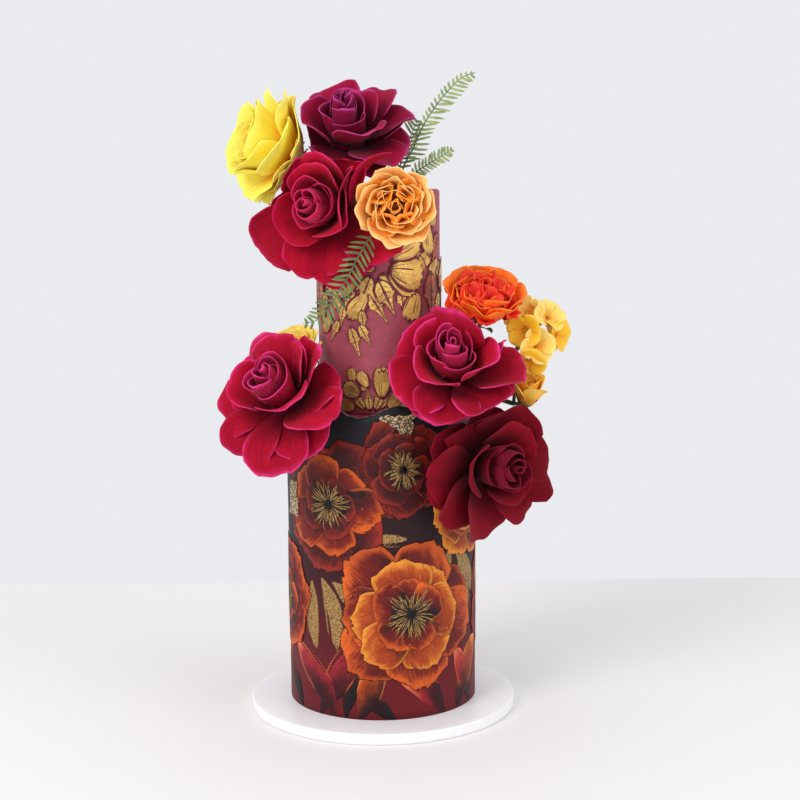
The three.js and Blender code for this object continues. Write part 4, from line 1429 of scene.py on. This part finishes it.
# Long leaves: foot, direction, length, width, bend, ink
PRINT_LEAVES = [
    ((-40, 10), 70, 92, 26, -40, RIBBON), ((-30, 10), 105, 80, 24, 50, RIBBON),
    ((-14, 10), 60, 60, 22, 30, AMBER), ((-22, 10), 84, 74, 18, -30, GARNET),
    ((40, 10), 118, 66, 22, 46, RIBBON), ((52, 10), 80, 70, 24, -46, AMBER),
    ((8, 10), 150, 50, 16, -50, GARNET), ((-58, 10), 110, 60, 20, 50, GARNET),
    ((66, 10), 95, 60, 22, 40, RIBBON), ((-38, 128), -62, 62, 17, -24, GOLD),
    ((-46, 124), -92, 58, 15, 16, GOLD), ((-30, 126), -30, 40, 13, -30, GOLD),
    ((50, 150), -40, 56, 17, -34, GOLD), ((54, 146), -74, 60, 16, -14, GOLD),
    ((46, 152), -112, 44, 13, 12, GOLD), ((-8, 164), -10, 34, 11, 24, GOLD),
    ((2, 246), -100, 50, 15, 20, GOLD), ((-62, 236), -60, 50, 16, -30, GOLD),
    ((88, 40), 60, 64, 22, 50, RIBBON), ((104, 10), 100, 70, 24, -40, AMBER),
    ((124, 10), 80, 66, 24, 40, RIBBON), ((146, 10), 110, 70, 22, -40, GARNET),
    ((168, 10), 70, 66, 24, 40, AMBER), ((-168, 10), 100, 70, 24, -40, RIBBON),
    ((-146, 10), 80, 64, 22, 44, GARNET), ((-124, 10), 104, 72, 24, -44, RIBBON),
    ((-104, 10), 74, 66, 22, 40, AMBER), ((-84, 10), 100, 56, 20, -40, RIBBON),
    ((88, 168), -60, 56, 16, -20, GOLD), ((-100, 160), -110, 52, 16, 24, GOLD),
    ((126, 158), -80, 56, 16, 20, GOLD), ((-140, 158), -70, 54, 16, -20, GOLD),
    ((178, 156), -100, 54, 16, 20, GOLD),
]

# Blooms lie above the leaves, every second one above the others, in ink steps
BLOOM_LOW = 3
BLOOM_STEP = 14


def add_print_design():
    mesh = new_mesh()
    for i, (foot, direction, length, width, bend, ink) in enumerate(PRINT_LEAVES):
        add_patch(mesh, foot, direction, length, width, INK_STEP * (i % 3), 300 + i, bend, 0.5, ink)
    for i, (place, radius, palette, turn, shut) in enumerate(PRINT_BLOOMS):
        level = INK_STEP * (BLOOM_LOW + BLOOM_STEP * (i % 2))
        add_print_bloom(mesh, place, radius, palette, turn, level, 40 * i + 3, shut)
    inks = [
        print_ink("ink_ember", (20, 5, 9), (108, 20, 14), (216, 94, 28), (34, 7, 10)),
        print_ink("ink_garnet", (14, 7, 12), (70, 10, 14), (150, 40, 26), (20, 6, 9)),
        print_ink("ink_amber", (40, 9, 10), (164, 60, 18), (238, 150, 48), (82, 20, 10)),
        print_ink("ink_night", (12, 10, 14), (16, 11, 15), (30, 12, 16), (10, 8, 12)),
        printed_gold(),
        print_ink("ink_ribbon", (50, 6, 16), (150, 26, 38), (226, 110, 70), (80, 8, 20)),
    ]
    piece = add_piece("print_design", mesh, inks, ["print_wrap"])
    thicken(piece, INK_THICKNESS, offset=-1)


# Gold crackle patches on the print

# Each patch: angles of its two sides at the foot and at the top, and its heights
CRACKLE_PATCHES = [(14, 19, -1, 21, LEDGE - 12, LEDGE + 4), (-72, -58, -70, -60, 176, 206)]
CRACKLE_LEVEL = 0.95
CRACKLE_THICKNESS = 0.05


def add_gold_crackle():
    mesh = new_mesh()
    for foot_left, foot_right, top_left, top_right, low, high in CRACKLE_PATCHES:

        def place(s, t):
            middle = (foot_left + foot_right) / 2 * (1 - t) + (top_left + top_right) / 2 * t
            half = (foot_right - foot_left) / 2 * (1 - t) + (top_right - top_left) / 2 * t
            angle = middle + half * s * (1 + 0.12 * np.sin(5 * s + 9 * t) + 0.08 * np.sin(17 * t))
            height = np.minimum(low + (high - low) * t + 0.8 * np.sin(9 * s), cut_edge(angle) - 0.2)
            return round_tier(angle, height, WRAP_OUTSIDE + CRACKLE_LEVEL)

        lay(mesh, 20, 16, place, lambda s, t: {"reach": t})
    piece = add_piece("print_crackle", mesh, [gold_crackle()], ["print_wrap"])
    thicken(piece, CRACKLE_THICKNESS, offset=-1)


# The stencilled ornament of the upper tier: raised petals and leaves, edged with dark maroon that is partly
# its own paint and partly painted shade

# Each petal or leaf: foot across and above the ledge, direction, length and width
STENCIL_SPRAY = [
    (9, 121, -12, 33, 26), (10, 130, 27, 31, 17), (0, 113, -66, 31, 15), (-9, 104, -59, 30, 12),
    (34, 103, -108, 27, 17), (50, 118, -88, 42, 17), (-9, 102, -127, 28, 14), (-24, 74, -72, 25, 9),
    (-16, 76, -62, 19, 8), (-36, 128, -110, 29, 16), (-44, 83, -127, 20, 10), (-35, 79, -118, 20, 7),
    (-10, 115, -145, 17, 9), (44, 160, -80, 30, 15), (56, 176, -100, 22, 12),
]
STENCIL_FILL = [
    (12, 126, 74, 24, 16), (26, 142, -58, 18, 10), (4, 118, -92, 26, 13), (8, 118, -38, 30, 15),
    (-6, 116, -112, 26, 12), (-16, 112, -150, 24, 12), (-2, 120, 150, 22, 12),
    (-22, 110, -104, 22, 10), (18, 104, -78, 20, 9), (-28, 98, -62, 20, 8), (-30, 92, -100, 18, 8),
    (-40, 104, -75, 18, 9), (-14, 88, -84, 18, 7), (-50, 100, -110, 20, 9), (30, 124, 18, 22, 12),
    (2, 112, -80, 14, 7), (36, 132, -76, 16, 8), (-46, 126, -70, 20, 11), (0, 134, 110, 22, 13),
    (20, 148, 60, 18, 11), (62, 150, -110, 24, 11), (60, 128, -70, 22, 10), (-48, 112, -40, 18, 9),
    (-56, 92, -96, 18, 8), (-52, 128, -140, 20, 10), (-26, 124, -80, 18, 9), (-34, 112, -50, 16, 8),
    (-18, 126, -120, 18, 9), (26, 110, -60, 16, 8), (40, 116, -130, 16, 8), (10, 112, -120, 14, 6),
    (-64, 120, -80, 26, 12),
]
STENCIL_FOOT = [
    (-16, 16, 150, 18, 14), (-9, 23, 122, 16, 9), (2, 14, 88, 24, 14), (14, 16, 52, 20, 10),
    (-4, 28, 60, 13, 8), (8, 30, 118, 12, 6), (-22, 26, 100, 14, 8), (22, 14, 30, 18, 12),
    (-30, 10, 150, 16, 10), (20, 26, 80, 13, 8),
]
STENCIL_FOOT_FILL = [
    (-8, 4, 96, 18, 7), (-4, 4, 66, 20, 7), (-12, 5, 128, 18, 7), (6, 6, 40, 20, 12),
    (-20, 6, 168, 16, 11), (14, 4, 20, 20, 10), (-2, 6, 40, 14, 6), (-14, 20, 70, 9, 6),
    (10, 20, 120, 8, 6), (-26, 4, 140, 14, 9),
]
STENCIL_TURNS = {"front": 0, "right": 127, "left": 234}
STENCIL_FOOT_TURNS = (0, 90, 180, 270)
# Petals overlap in turn, level by level, and the spray's lie highest
STENCIL_LEVELS = 7
STENCIL_LEVEL = 0.09
STENCIL_LOWEST = 0.45
SPRAY_RISE = 0.1
GILT_THICKNESS = 0.5
MAROON_AND_SHADE_RIM = 0.5
# The petals that start at these places across are blushed with orange
BLUSHED = (50, 62)
LENGTHEN, WIDEN = 1.06, 1.18
FAN_FROM = 0.54


def add_plate(mesh, row, turn, grow, relief, seed, material=0):
    """A raised petal or leaf: a wide one is a fan with lobes, a narrow one a notched leaf."""
    across, height, direction, length, width = row
    way = math.radians(direction)
    cos, sin = math.cos(way), math.sin(way)
    length, width = length * LENGTHEN, width * WIDEN
    half = width / 2 + grow
    fan = width / length > FAN_FROM
    widest = 0.72 if fan else 0.45
    veins = 7 if fan else 6

    def place(s, t):
        lobes = 0.11 * np.abs(np.sin(2.1 * s * math.pi + seed)) * t**3 if fan else 0
        corner = 0.2 * np.abs(s) ** 2.2 if fan else 0.45 * np.abs(s) ** 1.3 * t
        along = t * (1 - corner - lobes) * (length + 2 * grow) - grow
        rise = np.sin(math.pi / 2 * np.minimum(1, t / widest)) ** 0.8
        fall = np.maximum(0, (t - widest) / (1 - widest))
        notch = 0 if fan else 0.24 * np.abs(np.sin(3.2 * math.pi * t + 0.5)) * t
        aside = s * half * (0.12 + 0.88 * rise) * (1 - (0.25 if fan else 0.86) * fall**1.7) * (1 - notch)
        angle = turn + np.degrees((across + along * cos - aside * sin) / UPPER_RADIUS)
        rise = np.clip(height + along * sin + aside * cos, 1, UPPER_HEIGHT - 3)
        edge = 1 - (1 - np.abs(s) ** 8) * (1 - np.abs(2 * t - 1) ** 10)
        crown = relief - 0.25 * edge * (grow == 0) - 0.2 * groove(s, t) * (grow == 0)
        return round_tier(angle, LEDGE + rise, UPPER_RADIUS + crown)

    def groove(s, t):
        if fan:
            spokes = np.exp(-((np.sin(veins * 0.5 * math.pi * s + seed) / 0.24) ** 2))
            start = 0.35 + 0.25 * np.cos(5 * s + seed)
            return spokes * (1 - eased_step(t, start, 0.85)) * (np.abs(s) < 0.9)
        middle = np.exp(-((s / 0.1) ** 2)) * (1 - eased_step(t, 0.75, 0.95))
        sides = np.exp(-((np.sin((t * veins - 1.3 * np.abs(s)) * math.pi) / 0.2) ** 2))
        inside = (1 - eased_step(np.abs(s), 0.5, 0.8)) * eased_step(t, 0.1, 0.25)
        return np.maximum(middle, sides * inside * 0.8)

    def marks(s, t):
        return {"reach": t, "groove": groove(s, t) if grow == 0 else 0}

    columns, rows = (26, 22) if grow == 0 else (12, 12)
    lay(mesh, columns, rows, place, marks, material)


def add_stencil():
    """Gilt petals, each over a wider dark maroon one whose rim is partly the ornament's own paint and
    partly painted shade.
    """
    gold = gilt("gilt", (240, 194, 96), (180, 134, 60), 0.55)
    blush = gilt("blushed_gilt", (214, 104, 36), (150, 56, 28), 0.3)
    under = new_mesh()
    sprays = (*STENCIL_FILL, *STENCIL_SPRAY)
    feet = (*STENCIL_FOOT_FILL, *STENCIL_FOOT)
    groups = {name: [(row, turn) for row in sprays] for name, turn in STENCIL_TURNS.items()}
    groups["foot"] = [(row, turn) for turn in STENCIL_FOOT_TURNS for row in feet]
    number = 0
    for name, rows in groups.items():
        mesh = new_mesh()
        for row, turn in rows:
            level = STENCIL_LOWEST + STENCIL_LEVEL * (number % STENCIL_LEVELS)
            level = level + (SPRAY_RISE if row in STENCIL_SPRAY else 0)
            finish = 1 if row[0] in BLUSHED else 0
            add_plate(mesh, row, turn, 0, level + STENCIL_LEVEL / 2, number, finish)
            # The wider dark plate under each gilt one: partly maroon paint, partly painted shade round it.
            add_plate(under, row, turn, MAROON_AND_SHADE_RIM, level, number)
            number += 1
        piece = add_piece("stencil_gilt_" + name, mesh, [gold, blush], ["upper_tier"])
        thicken(piece, GILT_THICKNESS, offset=-1)
    ground = add_piece("stencil_ground", under, [maroon_and_painted_shade()], ["upper_tier"])
    thicken(ground, GILT_THICKNESS, offset=-1)


# Light and floor


CAKE_MIDDLE = Vector((0, 0, 0.3))
# Each lamp: place and width in metres, power in watts and colour
LAMPS = {
    "key": ((-1.3, -1.6, 1.5), 1.2, 26, (1, 0.98, 0.96)),
    "fill": ((1.6, -1.0, 0.9), 1.4, 9, (0.95, 0.97, 1)),
}


def add_lamp(name, place, size, power, colour):
    data = bpy.data.lights.new(name, "AREA")
    data.shape = "DISK"
    data.size = size
    data.energy = power
    data.color = colour
    lamp = bpy.data.objects.new(name, data)
    way = CAKE_MIDDLE - Vector(place)
    lamp.matrix_world = Matrix.Translation(place) @ way.to_track_quat("-Z", "Y").to_matrix().to_4x4()
    bpy.context.scene.collection.objects.link(lamp)


def add_light():
    world = bpy.data.worlds.new("studio")
    world.use_nodes = True
    backdrop = world.node_tree.nodes["Background"]
    backdrop.inputs["Color"].default_value = srgb(234, 235, 238)
    backdrop.inputs["Strength"].default_value = 1
    bpy.context.scene.world = world
    for name, lamp in LAMPS.items():
        add_lamp(name, *lamp)
    view = bpy.context.scene.view_settings
    view.view_transform = "Standard"
    view.look = "None"


FLOOR_SIDE = 4000
FLOOR_NEAR, FLOOR_FAR = -5000, 420


def add_floor():
    """The table, which ends a little behind the cake as in the photo."""
    mesh = new_mesh()

    def place(s, t):
        return np.stack((s * FLOOR_SIDE, FLOOR_NEAR + t * (FLOOR_FAR - FLOOR_NEAR), 0 * s), axis=1)

    lay(mesh, 8, 8, place, lambda s, t: {})
    data = bpy.data.meshes.new("floor")
    mesh.to_mesh(data)
    mesh.free()
    floor = bpy.data.objects.new("floor", data)
    bpy.context.scene.collection.objects.link(floor)
    paint = Paint("floor_paper", Roughness=0.9)
    cloud = paint.noise(paint.place(), 2, 3)
    tone = paint.blend(cloud, srgb(238, 236, 234), srgb(234, 232, 231))
    data.materials.append(paint.put(Base_Color=tone))


ICING = rose_icing()

add_camera()
add_light()
add_floor()
add_board()
add_lower_tier()
add_print_sheet()
add_print_design()
add_gold_crackle()
add_upper_tier()
add_stencil()
for rose in ROSES:
    add_rose(rose)
for bloom in BLOOMS:
    add_bloom(bloom)
add_hydrangea()
add_rosebuds()
for fern in FERNS:
    add_fern(fern)
